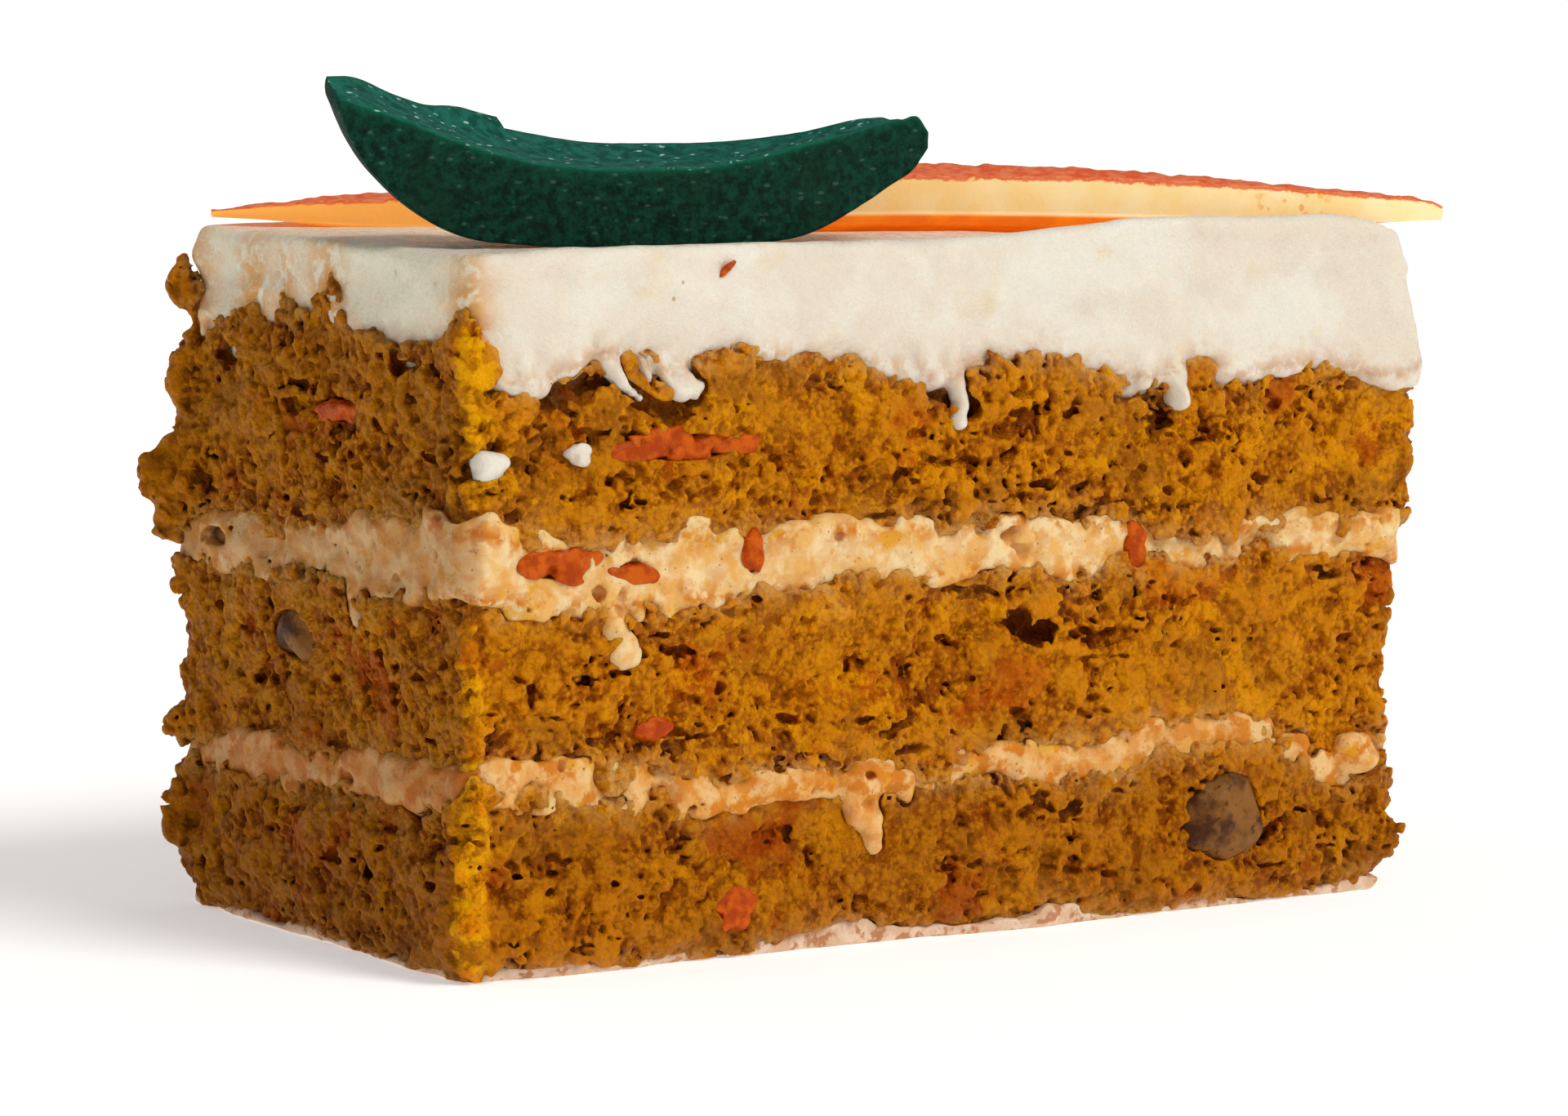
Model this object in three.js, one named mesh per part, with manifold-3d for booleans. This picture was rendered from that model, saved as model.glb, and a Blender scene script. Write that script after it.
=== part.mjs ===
// A slice of layered carrot cake: three carrot sponges, two cream fillings, a thick cream
// frosting, and two moulded decorations that rest on top. Millimetres, +Z up. The origin is the
// centre of the base on the surface it stands on. X runs along the long side, and the two cut
// faces that show best are the front (-Y) and the left (-X).
import * as THREE from 'three';
import { mergeVertices } from 'three/addons/utils/BufferGeometryUtils.js';
import Module from 'manifold-3d';

const wasm = await Module();
wasm.setup();

// ---------------------------------------------------------------- driving dimensions
const LENGTH = 100.6;
const DEPTH = 47;
const FROSTING_TOP = 60.1;
const FILM_THICKNESS = 0.7;
const FILM_INSET = 0.5;
const CORNER_RADIUS = 2;
const POCKET_GAP = 0.3;

const HALF_LENGTH = LENGTH / 2;
const HALF_DEPTH = DEPTH / 2;

// Grid lines of every layer, as shares of the half length and half depth. They crowd towards
// the rim, where the corner is rounded and the frosting's front lip rises.
const LINES_ALONG = [-1, -0.96, -0.8, -0.6, -0.4, -0.2, 0, 0.2, 0.4, 0.6, 0.8, 0.96, 1];
const LINES_ACROSS = [-1, -0.915, -0.6, -0.2, 0.2, 0.6, 0.915, 1];

// ---------------------------------------------------------------- small maths
// Smooth height through hand-set knots [place, height], level beyond the ends.
function through(knots) {
  return (place) => {
    if (place <= knots[0][0]) return knots[0][1];
    for (let i = 1; i < knots.length; i += 1) {
      const [x0, h0] = knots[i - 1];
      const [x1, h1] = knots[i];
      if (place <= x1) return h0 + (h1 - h0) * THREE.MathUtils.smoothstep(place, x0, x1);
    }
    return knots[knots.length - 1][1];
  };
}

// A boundary between two layers: one profile along the front face, and one across the left
// face, which counts from its value at the corner that the two faces share.
function boundary(frontKnots, leftKnots) {
  const along = through(frontKnots);
  const across = through(leftKnots);
  const corner = across(-HALF_DEPTH);
  return (x, y) => along(x) + across(y) - corner;
}

// ---------------------------------------------------------------- layer boundaries
const level = (height) => () => height;

const lowerFillingBottom = boundary(
  [[-50, 15.3], [-36, 14.3], [-22, 13.5], [-6, 13.2], [5, 14], [14, 13], [28, 15], [34, 14.8],
    [42, 11], [50, 12]],
  [[-23.5, 15.2], [-14, 14.5], [0, 13.8], [10, 12.9], [23.5, 13]],
);
const lowerFillingTop = boundary(
  [[-50, 18], [-36, 17.6], [-22, 15.8], [-6, 15.1], [5, 16], [20, 17.4], [28, 17.8], [36, 16.8],
    [42, 13.6], [50, 14.5]],
  [[-23.5, 17.2], [-12, 16.3], [-3, 15.9], [10, 15.1], [23.5, 14.8]],
);
const upperFillingBottom = boundary(
  [[-50, 32.2], [-40, 31], [-24, 31.1], [-6, 31.3], [10, 31.1], [29, 31.3], [50, 30.6]],
  [[-23.5, 32.6], [-12, 31.4], [0, 32], [15, 31.5], [23.5, 29.8]],
);
const upperFillingTop = boundary(
  [[-50, 37.6], [-40, 35.8], [-24, 35.9], [2, 36], [20, 34.8], [38, 34.3], [50, 34.4]],
  [[-23.5, 37.8], [-12, 37.4], [0, 36], [10, 35.3], [23.5, 34]],
);
const frostingBottom = boundary(
  [[-50, 53], [-45, 50.2], [-38, 51.5], [-15, 50.7], [5, 50.2], [20, 48.3], [34, 48.5], [50, 48]],
  [[-23.5, 53], [-14, 51.8], [0, 52.5], [10, 52.1], [20.5, 51], [23.5, 52]],
);

// The frosting's top is level, with a low lip along its front edge where the knife drew it up.
const LIP_REACH = 3;
const lipHeight = through(
  [[-50, 0], [-40, 0.4], [-34, 0.7], [-8, 0.6], [2, 0.9], [12, 1.3], [22, 1.7], [34, 1.6], [46, 0.2],
    [50, 0]],
);

function frostingSurface(x, y) {
  const fromEdge = (y + HALF_DEPTH) / LIP_REACH;
  return FROSTING_TOP + lipHeight(x) * Math.exp(-fromEdge * fromEdge);
}

// ---------------------------------------------------------------- side faces
// How far each cut face stands proud of the plain box at a height.
const rightFace = through(
  [[0, -2.2], [4, -0.2], [12, -0.6], [18, -1.4], [28, -1.4], [36, -0.2], [45, 0.6], [52, 0.4],
    [58, -0.6], [62, -1.3]],
);
const leftFace = through([[0, -0.8], [6, 0.3], [18, 0], [34, 0.6], [42, 0.4], [50, 0], [62, -0.2]]);
const frontFace = through([[0, -0.5], [5, 0.1], [30, 0.2], [45, 0.1], [56, 0], [62, -0.3]]);
const backFace = through([[0, -0.6], [6, 0.2], [20, -0.1], [33, 0.4], [48, 0.1], [62, -0.4]]);

// A grid point, moved out or in to the cut faces at its height, with the corners rounded.
function placePoint(alongShare, acrossShare, z, inset) {
  const faceX = alongShare > 0 ? rightFace(z) : leftFace(z);
  const faceY = acrossShare > 0 ? backFace(z) : frontFace(z);
  const onCorner = Math.abs(alongShare) === 1 && Math.abs(acrossShare) === 1;
  const cornerCut = onCorner ? CORNER_RADIUS * (1 - Math.SQRT1_2) : 0;
  const reachX = HALF_LENGTH + faceX - inset - cornerCut;
  const reachY = HALF_DEPTH + faceY - inset - cornerCut;
  return new THREE.Vector3(alongShare * reachX, acrossShare * reachY, z);
}

// ---------------------------------------------------------------- closed bodies
// An indexed geometry whose faces point out, whichever way its rings were listed.
function closedBody(points, triangles) {
  let volume = 0;
  for (const [a, b, c] of triangles) {
    volume += points[a].dot(new THREE.Vector3().crossVectors(points[b], points[c]));
  }
  const outward = volume > 0 ? triangles : triangles.map(([a, b, c]) => [a, c, b]);
  const geometry = new THREE.BufferGeometry().setFromPoints(points);
  geometry.setIndex(outward.flat());
  return geometry;
}

// Strips between neighbouring rings of equal count, closed by a fan at each end.
function loft(rings) {
  const count = rings[0].length;
  const points = rings.flat();
  const triangles = [];
  for (let r = 0; r + 1 < rings.length; r += 1) {
    for (let i = 0; i < count; i += 1) {
      const next = (i + 1) % count;
      const low = r * count;
      const high = low + count;
      triangles.push([low + i, low + next, high + next], [low + i, high + next, high + i]);
    }
  }
  const last = (rings.length - 1) * count;
  for (let i = 1; i + 1 < count; i += 1) {
    triangles.push([0, i + 1, i], [last, last + i, last + i + 1]);
  }
  return closedBody(points, triangles);
}

// Grid indices around the rim, anticlockwise from above.
function rimOfGrid(columns, rows) {
  const rim = [];
  for (let i = 0; i < columns - 1; i += 1) rim.push(i);
  for (let j = 0; j < rows - 1; j += 1) rim.push(j * columns + columns - 1);
  for (let i = columns - 1; i > 0; i -= 1) rim.push((rows - 1) * columns + i);
  for (let j = rows - 1; j > 0; j -= 1) rim.push(j * columns);
  return rim;
}

// One layer between two boundaries. wallRings more rings let its sides follow the cut faces.
function layer(bottom, top, wallRings, inset) {
  const columns = LINES_ALONG.length;
  const rows = LINES_ACROSS.length;
  const shares = LINES_ACROSS.flatMap((v) => LINES_ALONG.map((u) => [u, v]));
  const heights = shares.map(([u, v]) => {
    const x = u * HALF_LENGTH;
    const y = v * HALF_DEPTH;
    return [bottom(x, y), top(x, y)];
  });
  const points = [];
  for (const side of [0, 1]) {
    shares.forEach(([u, v], k) => points.push(placePoint(u, v, heights[k][side], inset)));
  }
  const triangles = [];
  const topStart = columns * rows;
  for (let j = 0; j + 1 < rows; j += 1) {
    for (let i = 0; i + 1 < columns; i += 1) {
      const a = j * columns + i;
      const b = a + 1;
      const c = b + columns;
      const d = a + columns;
      triangles.push([a, c, b], [a, d, c]);
      triangles.push([topStart + a, topStart + b, topStart + c]);
      triangles.push([topStart + a, topStart + c, topStart + d]);
    }
  }
  const rim = rimOfGrid(columns, rows);
  let lowerRing = rim;
  for (let ring = 1; ring <= wallRings + 1; ring += 1) {
    const share = ring / (wallRings + 1);
    let upperRing = rim.map((k) => topStart + k);
    if (ring <= wallRings) {
      upperRing = rim.map((k, n) => points.length + n);
      for (const k of rim) {
        const z = THREE.MathUtils.lerp(heights[k][0], heights[k][1], share);
        points.push(placePoint(shares[k][0], shares[k][1], z, inset));
      }
    }
    for (let n = 0; n < rim.length; n += 1) {
      const next = (n + 1) % rim.length;
      triangles.push([lowerRing[n], lowerRing[next], upperRing[next]]);
      triangles.push([lowerRing[n], upperRing[next], upperRing[n]]);
    }
    lowerRing = upperRing;
  }
  return closedBody(points, triangles);
}

// ---------------------------------------------------------------- cutting
function toSolid(geometry, matrix) {
  const bare = geometry.clone();
  bare.deleteAttribute('normal');
  bare.deleteAttribute('uv');
  if (matrix) bare.applyMatrix4(matrix);
  const merged = mergeVertices(bare);
  return new wasm.Manifold(new wasm.Mesh({
    numProp: 3,
    vertProperties: new Float32Array(merged.attributes.position.array),
    triVerts: new Uint32Array(merged.index.array),
  }));
}

function toGeometry(solid) {
  const mesh = solid.getMesh();
  const geometry = new THREE.BufferGeometry();
  geometry.setAttribute('position', new THREE.BufferAttribute(new Float32Array(mesh.vertProperties), 3));
  geometry.setIndex(Array.from(mesh.triVerts));
  return geometry;
}

// ---------------------------------------------------------------- pieces baked into the cake
// Each is centred on its own origin: X along the cut face, Y into the cake, Z up.
function carrotShred(length, width, depth, bend) {
  const geometry = new THREE.SphereGeometry(1, 8, 5);
  geometry.rotateZ(Math.PI / 2);
  geometry.scale(length / 2, depth / 2, width / 2);
  const position = geometry.attributes.position;
  for (let i = 0; i < position.count; i += 1) {
    const share = position.getX(i) / (length / 2);
    position.setZ(i, position.getZ(i) + bend * (share * share - 0.5));
  }
  return geometry;
}

function walnutPiece(length, width, depth) {
  const geometry = new THREE.IcosahedronGeometry(1, 1);
  const position = geometry.attributes.position;
  const lobes = 4;
  const lobeDepth = 0.1;
  for (let i = 0; i < position.count; i += 1) {
    const point = new THREE.Vector3().fromBufferAttribute(position, i);
    const turn = Math.atan2(point.z, point.x);
    point.multiplyScalar(1 - lobeDepth * Math.sin(lobes * turn) * (1 - Math.abs(point.y)));
    position.setXYZ(i, point.x, point.y, point.z);
  }
  geometry.scale(length / 2, depth / 2, width / 2);
  return geometry;
}

const FACES = {
  front: { turn: 0, at: (along, sunk) => [along, -HALF_DEPTH + sunk] },
  left: { turn: -Math.PI / 2, at: (along, sunk) => [-HALF_LENGTH + sunk, along] },
  back: { turn: Math.PI, at: (along, sunk) => [along, HALF_DEPTH - sunk] },
  right: { turn: Math.PI / 2, at: (along, sunk) => [HALF_LENGTH - sunk, along] },
};

const KINDS = {
  walnut: { shape: walnutPiece, color: 0x6e4727, roughness: 0.55 },
  carrot: { shape: carrotShred, color: 0xa23803, roughness: 0.4 },
  cream: { shape: walnutPiece, color: 0xebdcc9, roughness: 0.45 },
};

// Name, kind, face, place along the face and height, size as length, width and depth, how far
// it stands proud of the face, tilt in degrees about the face's normal, and bend.
const INCLUSIONS = [
  ['walnut_front', 'walnut', 'front', [29.5, 8.3], [8.5, 8.8, 7], 1.2, 10],
  ['carrot_shred_front_top', 'carrot', 'front', [-29, 44], [11, 2.2, 2.6], 0.5, 4, 0.5],
  ['carrot_in_filling_a', 'carrot', 'front', [-41.3, 34.6], [6.2, 2.3, 2.6], 0.4, 12, 0.3],
  ['carrot_in_filling_b', 'carrot', 'front', [-34, 33.7], [3.8, 1.6, 2], 0.3, 5, 0.1],
  ['carrot_in_filling_c', 'carrot', 'front', [-21.8, 34.6], [3.9, 1.5, 2], 0.3, 80, 0.2],
  ['carrot_in_filling_d', 'carrot', 'front', [19, 32.9], [3.8, 2.2, 2.2], 0.3, 75, 0.2],
  ['carrot_chunk_front', 'carrot', 'front', [-23.2, 4.6], [4.2, 3.2, 3], 0.7, 15, 0.2],
  ['carrot_shred_front_middle', 'carrot', 'front', [-31.5, 20.3], [3.6, 1.8, 2], 0.3, 10, 0.2],
  ['carrot_fleck_frosting', 'carrot', 'front', [-25, 58.6], [2, 0.8, 1], 0.3, -50, 0],
  ['cream_crumb_front_a', 'cream', 'front', [-48, 42.8], [3, 2, 2], 0.7, 0],
  ['cream_crumb_front_b', 'cream', 'front', [-39.5, 43.8], [2.4, 1.9, 2], 0.7, 20],
  ['carrot_shred_left', 'carrot', 'left', [-2.9, 46.1], [7.8, 2, 2.6], 0.4, -6, 0.3],
  ['walnut_left', 'walnut', 'left', [3.8, 26.2], [7, 4.6, 4.5], 0.6, 12],
  ['walnut_sliver_left', 'walnut', 'left', [16.4, 33.4], [5.2, 1.7, 2], 0.3, -8],
  ['walnut_back', 'walnut', 'back', [12, 24.3], [7.5, 6, 5], 0.8, -20],
  ['carrot_shred_back_top', 'carrot', 'back', [-27, 43.2], [8.5, 2, 2.6], 0.4, -12, 0.5],
  ['carrot_shred_back_right', 'carrot', 'back', [28, 41], [4.5, 2.4, 2.6], 0.5, 40, 0.3],
  ['carrot_shred_back_low', 'carrot', 'back', [-12, 7], [6, 2, 2.6], 0.4, 18, 0.4],
  ['carrot_chunk_back', 'carrot', 'back', [36, 6], [3.8, 2.8, 2.6], 0.6, -10, 0.2],
  ['walnut_right', 'walnut', 'right', [9, 7], [5.5, 4.6, 4], -0.2, 15],
  ['carrot_shred_right_top', 'carrot', 'right', [5, 42], [7, 2, 2.6], 0.9, -15, 0.4],
  ['carrot_shred_right_middle', 'carrot', 'right', [-9, 22], [4.4, 2, 2.6], -0.9, 25, 0.3],
].map(([name, kind, face, at, size, proud, tilt, bend]) => (
  { name, kind, face, at, size, proud, tilt, bend }
));

// The shape of an inclusion, grown all round by a margin.
function inclusionShape(piece, margin) {
  const [length, width, depth] = piece.size.map((side) => side + 2 * margin);
  return KINDS[piece.kind].shape(length, width, depth, piece.bend);
}

function placeInclusion(object, piece) {
  const face = FACES[piece.face];
  const [x, y] = face.at(piece.at[0], piece.size[2] / 2 - piece.proud);
  object.position.set(x, y, piece.at[1]);
  object.rotation.set(0, THREE.MathUtils.degToRad(piece.tilt), face.turn, 'ZYX');
  object.updateMatrix();
  return object;
}

// ---------------------------------------------------------------- moulded decorations
// The orange plaque: a pointed oval, dished across its width, laid from the back left corner
// to just past the front right corner. Share runs from -1 at its left tip to 1 at its right.
const PLAQUE = {
  leftTip: new THREE.Vector2(-48.2, 22),
  rightTip: new THREE.Vector2(55, -21),
  halfWidth: 9,
  tipHalfWidth: 0.5,
  thickness: 3.2,
  tipThickness: 0.5,
  dish: 1.25,
  stations: 16,
  columns: 6,
  rimHeight: through([[-1, 60.8], [-0.75, 61], [0, 61.85], [0.66, 61.6], [1, 61.4]]),
};

function orangePlaque() {
  const { leftTip, rightTip, stations, columns } = PLAQUE;
  const axis = rightTip.clone().sub(leftTip);
  const side = new THREE.Vector2(-axis.y, axis.x).normalize();
  const rings = [];
  for (let n = 0; n <= stations; n += 1) {
    const share = -Math.cos((n / stations) * Math.PI);
    const fullness = 1 - share * share;
    const halfWidth = PLAQUE.tipHalfWidth + PLAQUE.halfWidth * fullness;
    const thickness = PLAQUE.tipThickness + PLAQUE.thickness * (1 - share ** 6);
    const centre = leftTip.clone().addScaledVector(axis, (share + 1) / 2);
    const top = [];
    const bottom = [];
    for (let c = 0; c <= columns; c += 1) {
      const across = (2 * c) / columns - 1;
      const place = centre.clone().addScaledVector(side, across * halfWidth);
      const underside = PLAQUE.rimHeight(share) - PLAQUE.dish * fullness ** 1.5 * (1 - across * across);
      bottom.push(new THREE.Vector3(place.x, place.y, underside));
      top.push(new THREE.Vector3(place.x, place.y, underside + thickness));
    }
    rings.push([...bottom, ...top.reverse()]);
  }
  return loft(rings);
}

// The green leaf: a thick crescent that rests on its belly, tips up, with a flat front face and
// a hollowed upper face. Along runs from its left tip to its right tip, from the resting point.
const LEAF = {
  middle: new THREE.Vector2(-29, -15.2),
  turn: THREE.MathUtils.degToRad(-8),
  reach: 27.6,
  stations: 18,
  depth: 12.5,
  tipDepth: 2.2,
  frontBulge: 1.2,
  backDrop: 0.6,
  bellyShare: 0.35,
  upperEdge: through(
    [[-27.6, 73.5], [-22, 71.2], [-15, 68.6], [-5, 66.7], [2, 66.6], [10, 67.5], [20, 69.9], [27.6, 70.5]],
  ),
  lowerEdge: through(
    [[-27.6, 72.2], [-25, 67.4], [-19, 62.4], [-13, 60.6], [-6, 60.5], [12, 60.5], [20, 63], [25, 65.7],
      [27.6, 68.2]],
  ),
};

function greenLeaf() {
  const along = new THREE.Vector2(Math.cos(LEAF.turn), Math.sin(LEAF.turn));
  const back = new THREE.Vector2(-along.y, along.x);
  const rings = [];
  for (let n = 0; n <= LEAF.stations; n += 1) {
    const share = -Math.cos((n / LEAF.stations) * Math.PI);
    const fullness = 1 - share * share;
    const s = share * LEAF.reach;
    const depth = LEAF.tipDepth + LEAF.depth * fullness;
    const high = LEAF.upperEdge(s);
    const low = LEAF.lowerEdge(s);
    const front = -LEAF.frontBulge * fullness;
    const corner = (into, z) => {
      const place = LEAF.middle.clone().addScaledVector(along, s).addScaledVector(back, front + into);
      return new THREE.Vector3(place.x, place.y, z);
    };
    const backHigh = high + LEAF.backDrop * fullness;
    const backLow = THREE.MathUtils.lerp(low, high, LEAF.bellyShare);
    rings.push([
      corner(0, low),
      corner(depth * 0.5, low),
      corner(depth, backLow),
      corner(depth, backHigh),
      corner(depth * 0.5, high - LEAF.backDrop * fullness),
      corner(0, high),
    ]);
  }
  return loft(rings);
}

// ---------------------------------------------------------------- the cake
function namedMesh(name, geometry, color, roughness) {
  const material = new THREE.MeshStandardMaterial({ color, roughness, metalness: 0 });
  const mesh = new THREE.Mesh(geometry, material);
  mesh.name = name;
  return mesh;
}

const SPONGE = { rings: 2, inset: 0, color: 0xa25e0d, roughness: 0.9 };
const FILLING = { rings: 0, inset: 0, color: 0xe6bd84, roughness: 0.5 };
const FROSTING = { rings: 1, inset: 0, color: 0xf2e4d1, roughness: 0.45 };
const FILM = { rings: 0, inset: FILM_INSET, color: 0xd9b894, roughness: 0.5 };
const filmTop = level(FILM_THICKNESS);

const LAYERS = [
  { name: 'base_cream_film', from: level(0), to: filmTop, ...FILM },
  { name: 'sponge_bottom', from: filmTop, to: lowerFillingBottom, ...SPONGE },
  { name: 'filling_lower', from: lowerFillingBottom, to: lowerFillingTop, ...FILLING },
  { name: 'sponge_middle', from: lowerFillingTop, to: upperFillingBottom, ...SPONGE },
  { name: 'filling_upper', from: upperFillingBottom, to: upperFillingTop, ...FILLING },
  { name: 'sponge_top', from: upperFillingTop, to: frostingBottom, ...SPONGE },
  { name: 'frosting_top', from: frostingBottom, to: frostingSurface, ...FROSTING },
];

function buildInclusions() {
  const group = new THREE.Group();
  for (const piece of INCLUSIONS) {
    const kind = KINDS[piece.kind];
    const mesh = namedMesh(piece.name, inclusionShape(piece, 0), kind.color, kind.roughness);
    group.add(placeInclusion(mesh, piece));
  }
  return group;
}

// The pocket that each inclusion sits in, a little larger than the inclusion.
function pocketSolids() {
  return INCLUSIONS.map((piece) => {
    const pocket = inclusionShape(piece, POCKET_GAP);
    const placed = placeInclusion(new THREE.Object3D(), piece);
    return toSolid(pocket, placed.matrix);
  });
}

function buildLayers() {
  const group = new THREE.Group();
  const pockets = pocketSolids();
  for (const item of LAYERS) {
    let solid = toSolid(layer(item.from, item.to, item.rings, item.inset));
    for (const pocket of pockets) solid = solid.subtract(pocket);
    group.add(namedMesh(item.name, toGeometry(solid), item.color, item.roughness));
  }
  return group;
}

function buildDecorations() {
  const group = new THREE.Group();
  group.add(namedMesh('orange_plaque', orangePlaque(), 0xf3812f, 0.5));
  group.add(namedMesh('green_leaf', greenLeaf(), 0x0f3a2a, 0.6));
  return group;
}

const cake = new THREE.Group();
cake.add(buildLayers(), buildInclusions(), buildDecorations());

export default cake;
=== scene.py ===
"""A slice of layered carrot cake: the looks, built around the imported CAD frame.

The cake's soft pieces are distance fields sampled on a fine grid, in millimetres, and meshed
into closed skins: a wall that follows the cut faces, crumb lumps and pores added to it, and a
ragged boundary that each sponge shares with the cream next to it. The decorations are lofted.
"""
import math
from functools import cache

import bpy
import numpy as np
import openvdb
from mathutils import Matrix, Vector


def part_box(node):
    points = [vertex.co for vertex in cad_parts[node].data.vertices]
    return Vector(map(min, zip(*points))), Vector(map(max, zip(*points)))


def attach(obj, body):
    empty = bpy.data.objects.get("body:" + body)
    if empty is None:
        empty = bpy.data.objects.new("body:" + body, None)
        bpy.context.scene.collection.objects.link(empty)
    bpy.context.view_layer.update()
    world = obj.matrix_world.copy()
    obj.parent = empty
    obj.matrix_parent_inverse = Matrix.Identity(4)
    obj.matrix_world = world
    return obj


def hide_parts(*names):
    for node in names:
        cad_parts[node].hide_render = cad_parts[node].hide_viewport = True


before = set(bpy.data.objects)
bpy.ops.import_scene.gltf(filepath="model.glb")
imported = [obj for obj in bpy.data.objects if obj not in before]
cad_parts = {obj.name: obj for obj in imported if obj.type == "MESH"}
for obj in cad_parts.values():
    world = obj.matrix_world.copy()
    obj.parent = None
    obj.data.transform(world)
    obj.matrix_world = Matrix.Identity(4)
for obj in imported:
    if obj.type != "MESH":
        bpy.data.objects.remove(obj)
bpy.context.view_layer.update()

# ---------------------------------------------------------------- driving dimensions, mm
MM = 0.001
FAR = 99.0              # a distance that stands for nothing near
SPONGE_STEP = 0.19
CREAM_STEP = 0.26
HALF_LENGTH = 50.3
HALF_DEPTH = 23.5
FROSTING_TOP = 60.1
CORNER_RADIUS = 1.6
OVERLAP = 0.12          # how far a sponge's core runs into the cream beside it
CREAM_OVERLAP = 0.6     # how far the cream runs in behind the outermost crumbs
SKIN = 6.0              # how deep the rough detail reaches from a cut face
GRAIN_SIZES = (1.0, 0.58)
GRAIN_JITTER = 0.40     # share of its lattice cell that a grain may wander
GRAIN_SHARPNESS = 7.5   # how clearly merged grains keep their own shapes
GRAIN_RADIUS = 0.64     # share of its lattice cell, with GRAIN_SPREAD either way
GRAIN_SPREAD = 0.17
GRAIN_REACH = 9         # beyond this a grain adds nothing
GRAIN_SEAT = 0.42       # share of its radius that a grain's centre stays behind the cut
GRAIN_PROUD = 0.42      # how far the crumb may stand out of the cut
GONE = -20              # the radius of a dropped grain
BAND_BEHIND = 1.6       # how far behind the core's face, and before the cut, grains are worked out
BAND_BEFORE = 1.2
PILLOW = 0.45           # squares an inclusion up across the cut, so its cut section is full
SMEAR_DEPTH = 1.1       # half thickness of the cream smears, seated mostly below the face
BELLY_GLOW = 0.35       # stands in for light that comes through the thin orange plaque
# painted light: the pale cut rim glows a little, most on its left part
RIM_GLOW = 0.14
PIT_RARITY = 1.42       # how seldom the cut crumb opens into a pore
PIT_DEPTH = 0.55
CORE_DEPTH = 0.80       # how deep the open crumb goes before it is drawn solid
FOOT_CLEARANCE = 0.15   # the bottom sponge stays this far above the table
CORNER_REACH = 3.2      # how far the painted highlight along the near corner's edge reaches
CREAM_FADE = 0.9        # how quickly crumbs in the cream, and cream on the crumbs, thin out


# ---------------------------------------------------------------- noise
def hashed(ix, iy, iz, seed):
    """Repeatable random numbers from -1 to 1 at whole-number lattice places."""
    h = (ix.astype(np.int64) * 73856093) ^ (iy.astype(np.int64) * 19349663)
    h = h ^ (iz.astype(np.int64) * 83492791) ^ (seed * 40503 + 977)
    h = (h & 0xFFFFFFFF).astype(np.uint32)
    h ^= h >> np.uint32(16)
    h *= np.uint32(0x85EBCA6B)
    h ^= h >> np.uint32(13)
    h *= np.uint32(0xC2B2AE35)
    h ^= h >> np.uint32(16)
    return h.astype(np.float32) / np.float32(2 ** 31) - np.float32(1)


SPLINE_GAIN = 5.2       # brings smoothed lattice noise back to a spread of about 1


def spline_taps(places, size):
    """The four lattice rows that each sample place blends along one axis, and their weights."""
    at = places / size
    base = np.floor(at).astype(int)
    t = (at - base).astype(np.float32)
    first = base.min() - 1
    weights = (
        (1 - t) ** 3 / 6,
        (3 * t ** 3 - 6 * t ** 2 + 4) / 6,
        (-3 * t ** 3 + 3 * t ** 2 + 3 * t + 1) / 6,
        t ** 3 / 6,
    )
    taps = [(base - 1 - first + k, weight) for k, weight in enumerate(weights)]
    return first + np.arange(base.max() + 3 - first), taps


def blend_axis(values, taps, axis):
    """Carries lattice values over to sample places along one axis."""
    shape = [1, 1, 1]
    shape[axis] = -1
    total = 0
    for rows, weight in taps:
        total = total + np.take(values, rows, axis=axis) * weight.reshape(shape)
    return total


class Block:
    """A box of evenly spaced sample places, in millimetres."""

    def __init__(self, low, high, step):
        self.step = step
        self.first = np.floor(np.array(low) / step).astype(int)
        count = np.ceil(np.array(high) / step).astype(int) - self.first + 1
        self.axes = [(self.first[k] + np.arange(count[k])) * step for k in range(3)]
        self.shape = tuple(count)
        x, y, z = (a.astype(np.float32) for a in self.axes)
        self.x = x[:, None, None]
        self.y = y[None, :, None]
        self.z = z[None, None, :]

    def noise(self, size, seed):
        """Smooth noise with features of a size, in mm, or a size for each axis."""
        sizes = (size,) * 3 if np.isscalar(size) else size
        (ix, x_taps), (iy, y_taps), (iz, z_taps) = (
            spline_taps(axis, s) for axis, s in zip(self.axes, sizes)
        )
        values = hashed(ix[:, None, None], iy[None, :, None], iz[None, None, :], seed)
        values = blend_axis(values * np.float32(SPLINE_GAIN), z_taps, 2)
        return blend_axis(blend_axis(values, y_taps, 1), x_taps, 0)

    def billow(self, size, seed):
        """Rounded lumps with sharp creases between them, about zero on average."""
        return np.abs(self.noise(size, seed)) - np.float32(0.8)

    def sample(self, values, points):
        """Values of the block at the sample places nearest to free points."""
        at = np.rint(points / self.step).astype(int) - self.first
        at = np.clip(at, 0, np.array(self.shape) - 1)
        return values[at[:, 0], at[:, 1], at[:, 2]]

    def window(self, centre, reach):
        """Slices of the part of the block within reach of a centre, and its places."""
        slices = []
        for k in range(3):
            low = int(np.floor((centre[k] - reach[k]) / self.step)) - self.first[k]
            high = int(np.ceil((centre[k] + reach[k]) / self.step)) - self.first[k] + 1
            slices.append(slice(max(low, 0), min(max(high, 0), self.shape[k])))
        sx, sy, sz = slices
        return (sx, sy, sz), self.x[sx], self.y[:, sy], self.z[:, :, sz]


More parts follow.
